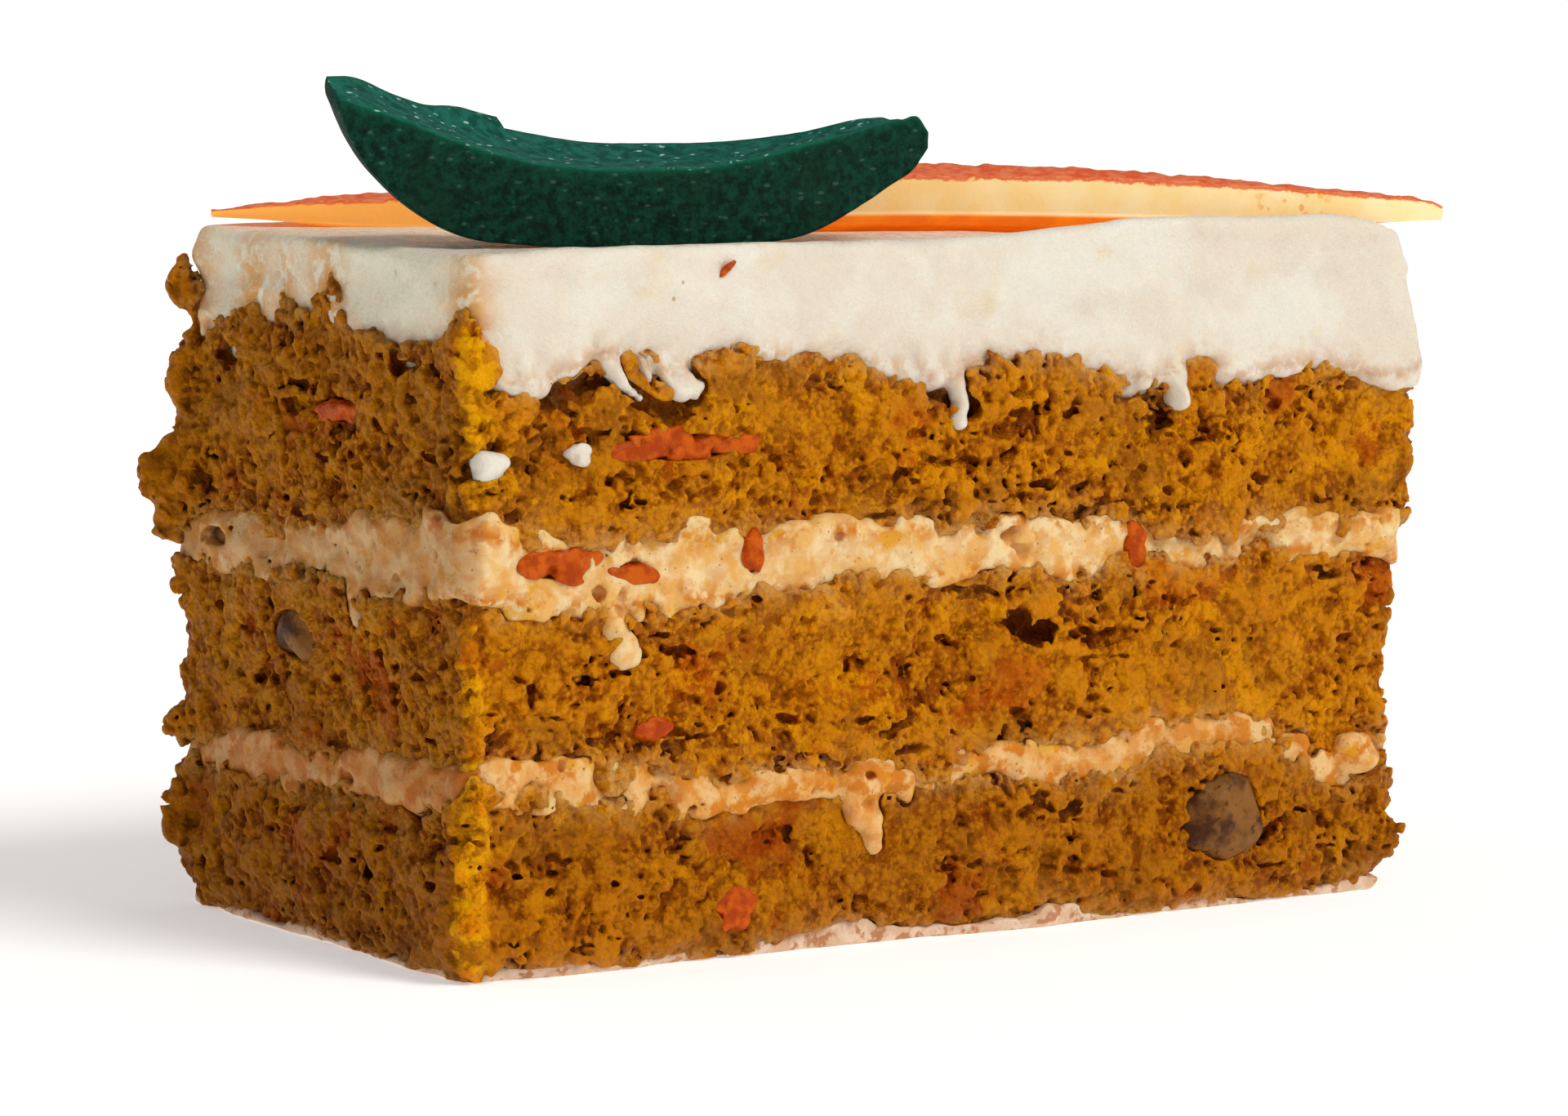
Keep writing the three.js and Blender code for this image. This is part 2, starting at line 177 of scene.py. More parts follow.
def noise_at(points, size, seed):
    """Smooth noise at free points, in mm, with a spread of about 1."""
    at = points / size
    base = np.floor(at).astype(int)
    t = at - base
    t = t * t * (3 - 2 * t)
    total = np.zeros(len(points))
    for corner in range(8):
        offset = np.array([corner & 1, corner >> 1 & 1, corner >> 2 & 1])
        weight = np.prod(np.where(offset, t, 1 - t), axis=1)
        total += weight * hashed(*(base + offset).T, seed)
    return total * 2.6


def through(knots, places):
    """Height at each place along a smooth curve through given knots (place, height)."""
    at, height = np.array(knots, float).T
    slope = np.gradient(height, at)
    places = np.clip(places, at[0], at[-1])
    k = np.clip(np.searchsorted(at, places) - 1, 0, len(at) - 2)
    gap = at[k + 1] - at[k]
    t = (places - at[k]) / gap
    start = (1 + 2 * t) * (1 - t) ** 2 * height[k] + t * (1 - t) ** 2 * gap * slope[k]
    finish = t * t * (3 - 2 * t) * height[k + 1] + t * t * (t - 1) * gap * slope[k + 1]
    return (start + finish).astype(np.float32)


def ease(value, low, high):
    """0 below low, 1 above high, eased between."""
    t = np.clip((value - low) / (high - low), 0, 1)
    return t * t * (3 - 2 * t)


def near_cut(wall):
    """1 at the cut faces, easing to 0 as deep as the rough detail reaches."""
    return 1 - ease(-wall, 2.0, SKIN)


def smooth_max(a, b, radius):
    """The larger of two distances, with the edge between them rounded."""
    h = np.clip(radius - np.abs(a - b), 0, None) / radius
    return np.maximum(a, b) + h * h * radius / 4


# ---------------------------------------------------------------- the slice's outline
RIGHT_FACE = [(0, -2.4), (1.2, -1.4), (4, 0.1), (9, -0.3), (12, -0.6), (18, -1.5), (28, -1.4), (33, -0.8),
              (36, -0.1), (38, 0.3), (45, 0.7), (52, 0.4), (58, -0.6), (62, -1.3)]
LEFT_FACE = [(0, -0.8), (2, -0.2), (6, 0.3), (18, 0), (34, 0.6), (42, 0.4), (50, 0), (62, -0.2)]
FRONT_FACE = [(0, -0.7), (1.5, -0.1), (5, 0.1), (30, 0.2), (45, 0.1), (56, 0), (62, -0.3)]
BACK_FACE = [(0, -0.8), (2, 0), (6, 0.2), (20, -0.1), (33, 0.4), (48, 0.1), (62, -0.4)]


def wall_distance(x, y, z):
    """Distance out of the upright cut faces, negative inside, with rounded corners."""
    flat_z = np.asarray(z)
    side = {}
    for name, knots in (("r", RIGHT_FACE), ("l", LEFT_FACE), ("f", FRONT_FACE), ("b", BACK_FACE)):
        side[name] = through(knots, flat_z)
    qx = np.where(x > 0, x - side["r"], -x - side["l"]) - (HALF_LENGTH - CORNER_RADIUS)
    qy = np.where(y > 0, y - side["b"], -y - side["f"]) - (HALF_DEPTH - CORNER_RADIUS)
    outside = np.hypot(np.maximum(qx, 0), np.maximum(qy, 0))
    return (outside + np.minimum(np.maximum(qx, qy), 0) - CORNER_RADIUS).astype(np.float32)


# ---------------------------------------------------------------- layer boundaries
# Each boundary has a profile along the front face, and one across the left face, which
# counts from the corner they share.
BOUNDARIES = {
    "film_top": {
        "front": [(-50, 0.3), (-47, 0.9), (-40, 1.0), (-35, 0.5), (-31, 0.9), (-27, 0.4), (-22, 0.3),
                  (-19, 1.2), (-14, 2.0), (-8, 1.8), (-4, 0.5), (0, 0.9), (5, 0.4), (8, 1.1), (13, 1.5),
                  (17, 0.6), (24, 0.3), (28, 1.3), (31, 0.4), (40, 0.4), (44, 1.7), (48, 1.2), (50, 0.3)],
        "left": [(-23.5, 0.3), (-16, 0.5), (-10, 0.2), (0, 0.6), (8, 0.1), (16, 0.5), (23.5, 0.3)],
        "ragged": 0.3,
    },
    "lower_bottom": {
        "front": [(-50, 15.2), (-39, 14.7), (-31, 13.6), (-26, 12.9), (-19, 13.9), (-14, 14), (-6, 13.4),
                  (-1, 14.1), (5, 14.1), (12, 13), (16, 13), (22, 14.2), (28, 15), (33, 15), (38, 13.2),
                  (42, 10.8), (50, 11.5)],
        "left": [(-23.5, 15.2), (-14, 14.5), (-7, 14), (0, 13.8), (10, 12.9), (23.5, 13)],
        "ragged": 0.42,
    },
    "lower_top": {
        "front": [(-50, 17.8), (-41, 17.7), (-34, 17.5), (-29, 16.3), (-24, 15.7), (-14, 15.7), (-6, 14.9),
                  (0, 15.6), (7, 16), (14, 16.8), (22, 17.5), (27, 17.8), (32, 16.9), (37, 15.3),
                  (41, 13), (46, 14.2), (50, 14.4)],
        "left": [(-23.5, 17.4), (-12, 16.2), (-8, 17), (-3, 15.9), (4, 15.7), (15, 14.9), (23.5, 14.6)],
        "ragged": 0.42,
    },
    "upper_bottom": {
        "front": [(-50, 32.1), (-46, 31.6), (-40, 31), (-32, 30.9), (-24, 31.2), (-15, 30.9), (-7, 31.3),
                  (2, 32), (10, 31), (19, 31.6), (29, 31.1), (38, 32), (50, 30.5)],
        "left": [(-23.5, 32.7), (-18, 32.4), (-11, 31.3), (-2, 32.1), (10, 31.5), (20, 31.4), (25, 29.8)],
        "ragged": 0.5,
    },
    "upper_top": {
        "front": [(-50.6, 37.9), (-46.6, 36.8), (-40, 35.8), (-32, 36.5), (-24, 35.9), (-15, 36.2),
                  (-7, 35.9), (2, 36), (11, 35.8), (20, 34.8), (29, 34.4), (48, 34.4)],
        "left": [(-23.5, 37.7), (-18, 37.7), (-12, 37.4), (-4.6, 36.3), (4, 35.6), (19, 35), (23.5, 34)],
        "ragged": 0.5,
    },
    "frosting_bottom": {
        "front": [(-50, 54.6), (-48.4, 51.5), (-45.2, 49.6), (-40.5, 50.9), (-37.7, 52.1), (-34.9, 51.3),
                  (-29.9, 50.4), (-26.7, 51.3), (-15.8, 50.8), (-7.3, 49.8), (-3.2, 48.9), (2, 50.2),
                  (5.8, 50.4), (10.2, 49.9), (14.7, 48.7), (19.3, 47.9), (26.5, 49.5), (28.5, 48.2),
                  (34, 48.5), (38.7, 49), (42.5, 48.1), (47.4, 47.3), (51.6, 48.5)],
        "left": [(-23.5, 54), (-21.5, 53.2), (-19, 52.9), (-14, 51.7), (-7.5, 52), (-0.8, 52.6), (8.8, 52.2),
                 (15, 51.6), (20.5, 51), (23.5, 52.5)],
        "ragged": 0.45,
    },
}


def boundary_profile(name, x, y):
    """Height of a layer boundary over the plan."""
    spec = BOUNDARIES[name]
    corner = spec["left"][0][1]
    return through(spec["front"], x) + through(spec["left"], y) - np.float32(corner)


def boundary_field(block, name, near):
    """Height of a boundary at every place of a block, ragged near the cut faces."""
    seed = 100 + 10 * list(BOUNDARIES).index(name)
    rough = 0.7 * block.noise((2.6, 2.6, 1.8), seed) + 0.6 * block.noise(1.1, seed + 1)
    return boundary_profile(name, block.x, block.y) + BOUNDARIES[name]["ragged"] * rough * near


# ---------------------------------------------------------------- fields to meshes
def connected_part(points, faces):
    """Marks the points of the largest connected skin, dropping loose specks."""
    edges = np.concatenate([np.stack([f[:, k], f[:, (k + 1) % f.shape[1]]], 1)
                            for f in faces if len(f) for k in range(f.shape[1])])
    label = np.arange(len(points))
    while True:
        one, other = label[edges[:, 0]], label[edges[:, 1]]
        apart = one != other
        if not apart.any():
            break
        edges, one, other = edges[apart], one[apart], other[apart]
        lowest = np.minimum(one, other)
        np.minimum.at(label, one, lowest)
        np.minimum.at(label, other, lowest)
        while not np.array_equal(label, label[label]):
            label = label[label]
    names, sizes = np.unique(label, return_counts=True)
    return label == names[np.argmax(sizes)]


def mesh_object(name, points, faces):
    """A Blender object from points in mm and arrays of triangles and quads, smooth-shaded."""
    faces = [f for f in faces if len(f)]
    loops = np.concatenate([f.ravel() for f in faces]).astype(np.int32)
    counts = np.concatenate([np.full(len(f), f.shape[1], np.int32) for f in faces])
    starts = np.concatenate([[0], np.cumsum(counts)[:-1]]).astype(np.int32)
    mesh = bpy.data.meshes.new(name)
    mesh.vertices.add(len(points))
    mesh.vertices.foreach_set("co", (points * MM).astype(np.float32).ravel())
    mesh.loops.add(len(loops))
    mesh.loops.foreach_set("vertex_index", loops)
    mesh.polygons.add(len(counts))
    mesh.polygons.foreach_set("loop_start", starts)
    mesh.update(calc_edges=True)
    mesh.polygons.foreach_set("use_smooth", np.ones(len(counts), bool))
    mesh.validate()
    piece = bpy.data.objects.new(name, mesh)
    bpy.context.scene.collection.objects.link(piece)
    return piece


def points_of(piece):
    """A piece's vertices, in mm."""
    points = np.empty(len(piece.data.vertices) * 3, np.float32)
    piece.data.vertices.foreach_get("co", points)
    return points.reshape(-1, 3) / MM


def field_object(name, block, field, adaptivity=0.01):
    """Meshes the zero surface of a distance field, positive outside, into one closed skin."""
    reach = 3 * block.step
    grid = openvdb.FloatGrid(reach)
    grid.copyFromArray(np.ascontiguousarray(np.clip(field, -reach, reach), np.float32))
    points, triangles, quads = grid.convertToPolygons(isovalue=0.0, adaptivity=adaptivity)
    points = points * block.step + block.first * block.step
    keep = connected_part(points, (triangles, quads))
    renumber = np.cumsum(keep) - 1
    faces = [renumber[f[keep[f[:, 0]]]][:, ::-1] for f in (triangles, quads) if len(f)]
    return mesh_object(name, points[keep], faces)


def add_attribute(piece, name, values):
    attribute = piece.data.attributes.new(name, "FLOAT", "POINT")
    attribute.data.foreach_set("value", np.asarray(values, np.float32))


def mark_left_face_light(piece):
    """Marks the left cut face, whose colour is shifted to stand in for the light it gets: painted shade on
    the crumb and the filling, painted light on the frosting.
    """
    x = points_of(piece)[:, 0]
    add_attribute(piece, "left_face_light", 1 - ease(x, -HALF_LENGTH + 0.4, -HALF_LENGTH + 1.6))


def box_map(piece):
    """A UV map that lays each face out by the way it looks, for baking the dense pieces."""
    mesh = piece.data
    normals = np.empty(len(mesh.polygons) * 3, np.float32)
    mesh.polygons.foreach_get("normal", normals)
    normals = normals.reshape(-1, 3)
    way = np.argmax(np.abs(normals), 1)
    way = way * 2 + (normals[np.arange(len(way)), way] > 0)
    counts = np.empty(len(mesh.polygons), np.int32)
    mesh.polygons.foreach_get("loop_total", counts)
    way = np.repeat(way, counts)
    corner = np.empty(len(mesh.loops), np.int32)
    mesh.loops.foreach_get("vertex_index", corner)
    points = points_of(piece)[corner]
    low, high = points.min(0), points.max(0)
    spread = (points - low) / (high - low)
    across = np.where(way < 2, spread[:, 1], spread[:, 0])
    upward = np.where(way < 4, spread[:, 2], spread[:, 1])
    size = high - low
    heights = np.array([size[2], size[2], size[2], size[2], size[1], size[1]])
    shares = heights / heights.sum()
    starts = np.cumsum(shares) - shares
    margin = 0.004
    uv = np.stack([margin + across * (1 - 2 * margin),
                   starts[way] + margin + upward * (shares[way] - 2 * margin)], 1)
    layer = mesh.uv_layers.new(name="OFBake")
    layer.data.foreach_set("uv", uv.astype(np.float32).ravel())


def finish_piece(piece, nodes, material):
    """Places a finished piece in the frame: what it rides on, stands for and is made of."""
    piece.data.materials.append(material)
    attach(piece, "root")
    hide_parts(*nodes)


# ---------------------------------------------------------------- crumb grains
class Grains:
    """Crumb grains packed on a loose lattice: a centre, a radius and a shade for each."""

    def __init__(self, low, high, size, seed):
        self.size = size
        self.first = np.floor(np.array(low) / size).astype(int) - 1
        last = np.ceil(np.array(high) / size).astype(int) + 1
        self.count = last - self.first + 1
        cells = np.indices(self.count).reshape(3, -1) + self.first[:, None]
        jitter = np.stack([hashed(*cells, seed + k) for k in range(3)]) * GRAIN_JITTER
        self.centres = ((cells + 0.5 + jitter) * size).astype(np.float32)
        self.shade = hashed(*cells, seed + 3)
        self.radii = (size * (GRAIN_RADIUS + GRAIN_SPREAD * self.shade)).astype(np.float32)

    def drop(self, unwanted):
        self.radii[unwanted] = GONE

    def blend(self, x, y, z):
        """Distance to the merged skin of the grains at free points, and each one's nearest."""
        p = np.stack([x, y, z]).astype(np.float32)
        base = np.floor(p / self.size - 0.5).astype(np.int32) - self.first[:, None].astype(np.int32)
        total = np.full(p.shape[1], 1e-9, np.float32)
        best = np.full(p.shape[1], FAR, np.float32)
        nearest = np.zeros(p.shape[1], np.int32)
        for corner in range(8):
            cell = base + np.array([[corner & 1], [corner >> 1 & 1], [corner >> 2 & 1]], np.int32)
            flat = (cell[0] * self.count[1] + cell[1]) * self.count[2] + cell[2]
            gap = p - self.centres[:, flat]
            distance = np.sqrt(np.einsum("ij,ij->j", gap, gap)) - self.radii[flat]
            total += np.exp(-GRAIN_SHARPNESS * np.minimum(distance, GRAIN_REACH))
            closer = distance < best
            best = np.where(closer, distance, best)
            nearest = np.where(closer, flat, nearest)
        return -np.log(total) / GRAIN_SHARPNESS, nearest


# ---------------------------------------------------------------- stamps
def off_centre(places, centre, radii):
    """How far places lie from an ellipsoid's centre, as a share of its radii, squared."""
    return sum(((p - c) / r) ** 2 for p, c, r in zip(places, centre, radii))


def stamp_out(block, field, centre, radii, merge=0.25):
    """Adds a rounded lump to a field."""
    reach = [r + merge + 2 * block.step for r in radii]
    window, *places = block.window(centre, reach)
    lump = (np.sqrt(off_centre(places, centre, radii)) - 1) * min(radii)
    field[window] = -smooth_max(-field[window], -lump, merge)


STROKE_WOBBLE = 0.30    # how much a stroke's width varies along it
WOBBLE_RATE = 2.3
STROKE_SPACING = 0.5    # gap between a stroke's lumps, as a share of its radius
STROKE_SEAT = 0.3       # how far a stroke's middle lies behind the flat of its face


def stamp_strokes(block, field, strokes):
    """Adds smears of cream: each a face and a run of (along it, height, radius) on that face."""
    for face, run in strokes:
        for (along, z, radius), (next_along, next_z, next_radius) in zip(run, run[1:]):
            length = math.hypot(next_along - along, next_z - z)
            steps = max(1, round(length / (STROKE_SPACING * min(radius, next_radius))))
            for k in range(steps + 1):
                t = k / steps
                here, height = along + (next_along - along) * t, z + (next_z - z) * t
                wobble = 1 + STROKE_WOBBLE * math.sin(WOBBLE_RATE * k + along)
                r = (radius + (next_radius - radius) * t) * wobble
                if face == "front":
                    centre, radii = (here, -HALF_DEPTH + STROKE_SEAT, height), (r, SMEAR_DEPTH, r)
                else:
                    centre, radii = (-HALF_LENGTH + STROKE_SEAT, here, height), (SMEAR_DEPTH, r, r)
                stamp_out(block, field, centre, radii)


def stamp_in(block, field, centre, radii, dents):
    """Carves a ragged hollow out of a field."""
    reach = [2 * r + 2 * block.step for r in radii]
    window, *places = block.window(centre, reach)
    hollow = (1 - np.sqrt(off_centre(places, centre, radii))) * min(radii)
    field[window] = np.maximum(field[window], hollow + dents[window])


# Where crumbs stand out of the cut faces, or have fallen away: centre, spread and lift.
SWELLS = [
    ((-51.4, 24.0, 38.0), (3.4, 3.2, 2.8), 6.0),
    ((-50.8, 23.6, 33.6), (2.2, 2.2, 2.4), 2.4),
    ((-50.8, 23.6, 55.2), (2.0, 2.4, 2.2), 2.8),
    ((-50.6, 23.6, 51.6), (2.0, 2.0, 0.9), -0.8),
    ((-50.6, 23.6, 47.4), (2.0, 2.4, 2.8), 2.0),
    ((-50.6, 23.6, 16.0), (2.0, 2.0, 1.8), 1.5),
    ((-50.6, 23.6, 28.6), (1.6, 2.0, 1.6), 1.0),
    ((-50.6, 23.6, 21.0), (1.6, 2.0, 1.6), 0.8),
    ((-50.8, 23.2, 8.0), (2.6, 2.6, 2.8), 2.2),
    ((-50.3, -23.2, 53), (1.6, 1.8, 3.6), 1.3),
    ((-50.3, -23.4, 12), (1.8, 1.8, 3.4), 1.2),
    ((-50.3, -23.4, 5), (1.8, 1.8, 2.6), 1.0),
    ((-50.3, -23.4, 24), (1.4, 1.4, 5.0), 0.8),
    ((50.3, -23.2, 5), (2.0, 2.0, 3.0), 0.9),
    ((50.3, -23.2, 34), (1.6, 1.6, 3.0), 0.6),
    ((50.3, 23.2, 40), (2.0, 2.0, 5.0), 1.0),
    ((50.0, 23.2, 15), (2.0, 2.0, 4.0), 0.8),
    ((31.0, -23.6, 24), (1.6, 1.2, 1.2), 0.8),
    ((10.0, -23.6, 28.6), (3.2, 1.2, 1.0), 0.9),
    ((-46, -23.6, 46.5), (2.0, 1.2, 1.4), 0.7),
    ((48, -23.0, 52), (3.0, 3.0, 2.0), -0.8),
    ((50.3, -23.4, 1), (3.0, 3.0, 2.0), -1.4),
    ((-50.3, 23.4, 1), (2.4, 2.4, 1.8), -1.2),
    ((-8, -23.6, 0.5), (5.0, 1.5, 1.2), -0.8),
]
# Where crumbs cling to the cream above a sponge: centre, spread and lift.
CLINGING = [
    ((-50.3, -22.6, 54), (1.4, 1.8, 4.4), 4.4),
    ((-50.4, -0.4, 54), (1.6, 2.1, 5.0), 4.8),
    ((-50.4, 7.0, 53), (1.5, 1.6, 4.0), 1.8),
    ((-50.4, 12.5, 53), (1.5, 1.8, 5.0), 2.6),
    ((-50.8, 23.6, 54.4), (2.8, 2.6, 4.6), 5.0),
    ((-49.8, -23.5, 15), (1.6, 1.6, 2.6), 3.0),
    ((47, -23.5, 12), (2.0, 1.5, 3.0), 1.8),
    ((14, -23.5, 18), (3.0, 1.4, 3.0), 1.4),
    ((-12, -23.5, 16), (2.4, 1.4, 3.0), 1.2),
    ((33, -23.5, 31), (1.6, 1.4, 3.0), 1.8),
    ((-44.0, -23.5, 15), (1.8, 1.4, 2.4), 1.5),
    ((-31.0, -23.5, 14), (1.4, 1.4, 2.4), 1.2),
]
# Where crumbs hang over the cream below a sponge: centre, spread and lift.
HANGING = [
    ((-51.8, 24.0, 37), (4.0, 2.6, 4.0), 5.0),
    ((22, -23.5, 36), (3.0, 1.4, 3.0), 1.0),
    ((-36.0, -23.5, 17), (1.7, 1.4, 2.6), 2.6),
    ((-25.0, -23.5, 16), (1.3, 1.4, 2.4), 1.2),
    ((29.5, -23.5, 35), (1.0, 1.4, 3.0), 2.2),
    ((40.5, -23.5, 15), (4.4, 1.5, 3.0), 4.0),
    ((-3.2, -23.5, 15), (2.2, 1.4, 2.6), 3.2),
    ((-50.4, 8.0, 33), (1.4, 3.0, 3.0), 1.4),
]
# Hollows in the sponge: centre and radii.
HOLLOWS = [
    ((5.6, -23.6, 26.8), (2.6, 1.2, 1.1)),
    ((8.0, -23.6, 26.0), (1.8, 1.1, 1.1)),
    ((1.4, -23.6, 27.0), (1.8, 0.9, 0.6)),
    ((-0.4, -23.4, 46.6), (1.6, 1.5, 1.3)),
    ((-2.8, -23.4, 47.6), (1.3, 1.2, 0.9)),
    ((-39.5, -23.4, 49.2), (2.2, 1.3, 1.0)),
    ((-42.5, -23.4, 48.2), (1.4, 1.4, 0.8)),
    ((-50.3, -14.5, 50.6), (1.5, 2.2, 0.9)),
    ((-50.3, 16.0, 49.5), (1.6, 1.6, 1.2)),
    ((-50.3, 9.0, 22.0), (1.5, 2.4, 1.1)),
    ((-50.3, -8.0, 8.0), (1.5, 2.0, 1.0)),
    ((14.0, 23.4, 44.0), (2.8, 2.0, 1.5)),
    ((-22.0, 23.4, 24.5), (3.0, 1.8, 1.3)),
    ((30.0, 23.4, 22.0), (1.8, 1.6, 1.2)),
    ((-36.0, 23.4, 8.0), (2.2, 1.6, 1.1)),
    ((50.6, -6.0, 44.5), (1.6, 2.6, 1.3)),
    ((49.4, 9.0, 24.0), (1.6, 2.0, 1.2)),
]


def add_bells(block, values, bells, sign=1):
    """Adds each bell-shaped lift in a list, broken up by noise, to a block of values."""
    broken = 1 + 0.5 * block.noise(1.7, 70) + 0.25 * block.noise(0.9, 71)
    for centre, spread, lift in bells:
        window, *places = block.window(centre, [2.2 * s for s in spread])
        bell = np.exp(-off_centre(places, centre, spread))
        values[window] += np.float32(sign * lift) * bell * broken[window]


# ---------------------------------------------------------------- things baked into the cake
OPENING_SHARE = 0.92    # share of an inclusion's size that is cleared round it
OPENING_REACH = 4       # how far round an inclusion the field is cleared
END_ZONE = 5            # a piece this near an end of the slice shows in the end's cut face
INCLUSION_FULLNESS = 1.08   # an inclusion's size, as a share of its CAD node's
PRESSED_IN = 0.85       # share of what stands too proud that is pressed back in
INCLUSION_KINDS = ("walnut", "carrot", "cream_crumb")
INCLUSIONS = sorted(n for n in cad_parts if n.startswith(INCLUSION_KINDS))


def inclusion_box(node):
    """Centre and half sizes, in mm, of a piece that is set into a cut face."""
    low, high = (np.array(corner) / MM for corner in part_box(node))
    return (low + high) / 2, (high - low) / 2


def cut_axis(centre):
    """The axis that a set-in piece's cut face looks along: 0 at the ends, 1 at front and back."""
    return 0 if abs(centre[0]) > HALF_LENGTH - END_ZONE else 1


def open_around(block, field):
    """Clears most of each inclusion's size out of a field, and outwards, so it shows."""
    for node in INCLUSIONS:
        centre, half = inclusion_box(node)
        axis = cut_axis(centre)
        radii = half * OPENING_SHARE
        window, x, y, z = block.window(centre, half + OPENING_REACH)
        gaps = [x - centre[0], y - centre[1], z - centre[2]]
        outward = np.sign(centre[axis])
        gaps[axis] = np.minimum(gaps[axis] * outward, 0)
        k = np.sqrt(sum((g / r) ** 2 for g, r in zip(gaps, radii)))
        field[window] = np.maximum(field[window], (1 - k) * min(radii))


# ---------------------------------------------------------------- sponge
def sponge(name, node, lower, upper, seed):
    """One sponge: a solid core behind a coat of loose and packed crumb grains."""
    bottom = max(min(z for _, z in BOUNDARIES[lower]["front"]) - 3, -0.4)
    top = max(z for _, z in BOUNDARIES[upper]["front"]) + 5
    margin = 4.6
    low = np.array((-HALF_LENGTH - margin, -HALF_DEPTH - margin / 2, bottom))
    high = np.array((HALF_LENGTH + margin / 2, HALF_DEPTH + margin, top))
    block = Block(low, high, SPONGE_STEP)
    wall = wall_distance(block.x, block.y, block.z)
    wall -= 0.26 * block.noise((9, 9, 6), seed) + 0.20 * block.noise((3.4, 3.4, 2.6), seed + 1)
    add_bells(block, wall, SWELLS, -1)
    near = near_cut(wall)
    roof = boundary_field(block, upper, near)
    ground = boundary_field(block, lower, near)
    loose = block.noise((6, 6, 3.5), seed + 2) + 0.6 * block.noise(2.2, seed + 3)

    field = wall + CORE_DEPTH + 0.5 * np.clip(loose, -1.5, 2.5)
    field = smooth_max(field, block.z - roof - OVERLAP, 0.5)
    field = smooth_max(field, ground - OVERLAP - block.z, 0.5)
    add_bells(block, roof, CLINGING)
    add_bells(block, ground, HANGING, -1)

    band = np.nonzero((wall > -CORE_DEPTH - BAND_BEHIND) & (wall < BAND_BEFORE))
    places = [axis[rows].astype(np.float32) for axis, rows in zip(block.axes, band)]
    skin = field[band]
    coats = []
    for size in GRAIN_SIZES:
        grains = Grains(low, high, size, seed + 5 + int(10 * size))
        centres = grains.centres.T
        grains.radii -= np.float32(0.07 * size) * block.sample(loose, centres)
        outside = block.sample(wall, centres) > -GRAIN_SEAT * grains.radii
        above = centres[:, 2] > block.sample(roof, centres)
        below = centres[:, 2] < block.sample(ground, centres)
        grains.drop(outside | above | below)
        coats.append(grains)
        skin = np.minimum(skin, grains.blend(*places)[0])
    fine = 0.10 * block.noise(0.9, seed + 4) + 0.13 * block.billow(0.5, seed + 5)
    skin = smooth_max(skin - fine[band], wall[band] - GRAIN_PROUD, 0.4)
    pits = 0.7 * block.noise((1.5, 1.5, 0.6), seed + 7) + 0.6 * block.noise((0.75, 0.75, 0.42), seed + 8)
    pits = (pits[band] + 0.22 * loose[band] - PIT_RARITY) * 0.45
    skin = np.maximum(skin, pits - np.maximum(-wall[band] - PIT_DEPTH, 0))
    field[band] = skin

    dents = 0.30 * block.noise(1.3, seed + 6) + 0.25 * block.noise(0.6, seed + 9)
    for centre, radii in HOLLOWS:
        stamp_in(block, field, centre, radii, dents)
    open_around(block, field)
    smears = np.full(block.shape, FAR, np.float32)
    stamp_strokes(block, smears, FILLING_SMEARS + FROSTING_SMEARS)
    field = np.maximum(field, -smears)
    field = np.maximum(field, FOOT_CLEARANCE - block.z)

    piece = field_object(name, block, field)
    points = points_of(piece)
    mark_left_face_light(piece)
    along, into = points[:, 0] + HALF_LENGTH, points[:, 1] + HALF_DEPTH
    on_front = 1 - ease(into, 0.1, 0.9)
    # corner: the strip along the front face's near edge that gets a painted highlight
    add_attribute(piece, "corner", on_front * (1 - ease(along, 0.3 * CORNER_REACH, CORNER_REACH)))
    # relief: depth behind the cut face, which the crumb's colour turns into painted shade in the pores
    add_attribute(piece, "relief", block.sample(wall, points))
    # proud: how far a point stands out of the flat cut, for the crumb's painted highlight
    add_attribute(piece, "proud", wall_distance(*points.T))
    shades = [grains.shade[grains.blend(*points.T)[1]] for grains in coats]
    add_attribute(piece, "shade", 0.6 * shades[0] + 0.4 * shades[1])
    gap = np.minimum(block.sample(roof, points) - points[:, 2], points[:, 2] - block.sample(ground, points))
    add_attribute(piece, "cream", np.exp(-np.maximum(gap, 0) / CREAM_FADE))
    box_map(piece)
    finish_piece(piece, [node], sponge_material())


# ---------------------------------------------------------------- cream
CREAM_SWELL = 0.05      # how far the soft cream stands out of the cut
BUBBLE_SIZE = 0.8
COVERED = 0.9           # how far the cream is pushed back under crumbs that cover it
# Smears and drips of cream down a face: (along it, height, radius) at each turn of a run.
FILLING_SMEARS = [
    ("front", [(-36.0, 32.0, 1.5), (-35.6, 29.2, 0.9), (-34.8, 27.4, 1.3), (-35.4, 26.8, 0.8)]),
    ("front", [(-34.0, 31.4, 1.1), (-33.6, 30.0, 0.7)]),
    ("front", [(-28.6, 31.4, 1.2), (-28.2, 30.2, 0.8)]),
    ("front", [(-9.8, 14.6, 1.7), (-9.4, 12.0, 1.2), (-9.0, 10.0, 1.1), (-8.4, 8.6, 0.8)]),
    ("front", [(-11.4, 14.0, 1.2), (-11.0, 11.6, 0.8)]),
    ("front", [(-6.0, 14.0, 1.2), (-5.2, 12.4, 0.8)]),
    ("front", [(6.0, 36.0, 0.9), (4.0, 35.6, 1.0)]),
    ("front", [(44.0, 13.0, 1.4), (46.0, 12.4, 1.0)]),
    ("left", [(-6.0, 31.8, 1.4), (-6.2, 29.6, 0.9), (-6.8, 28.4, 0.8)]),
    ("left", [(-10.0, 31.8, 1.2), (-9.4, 30.4, 0.8)]),
]
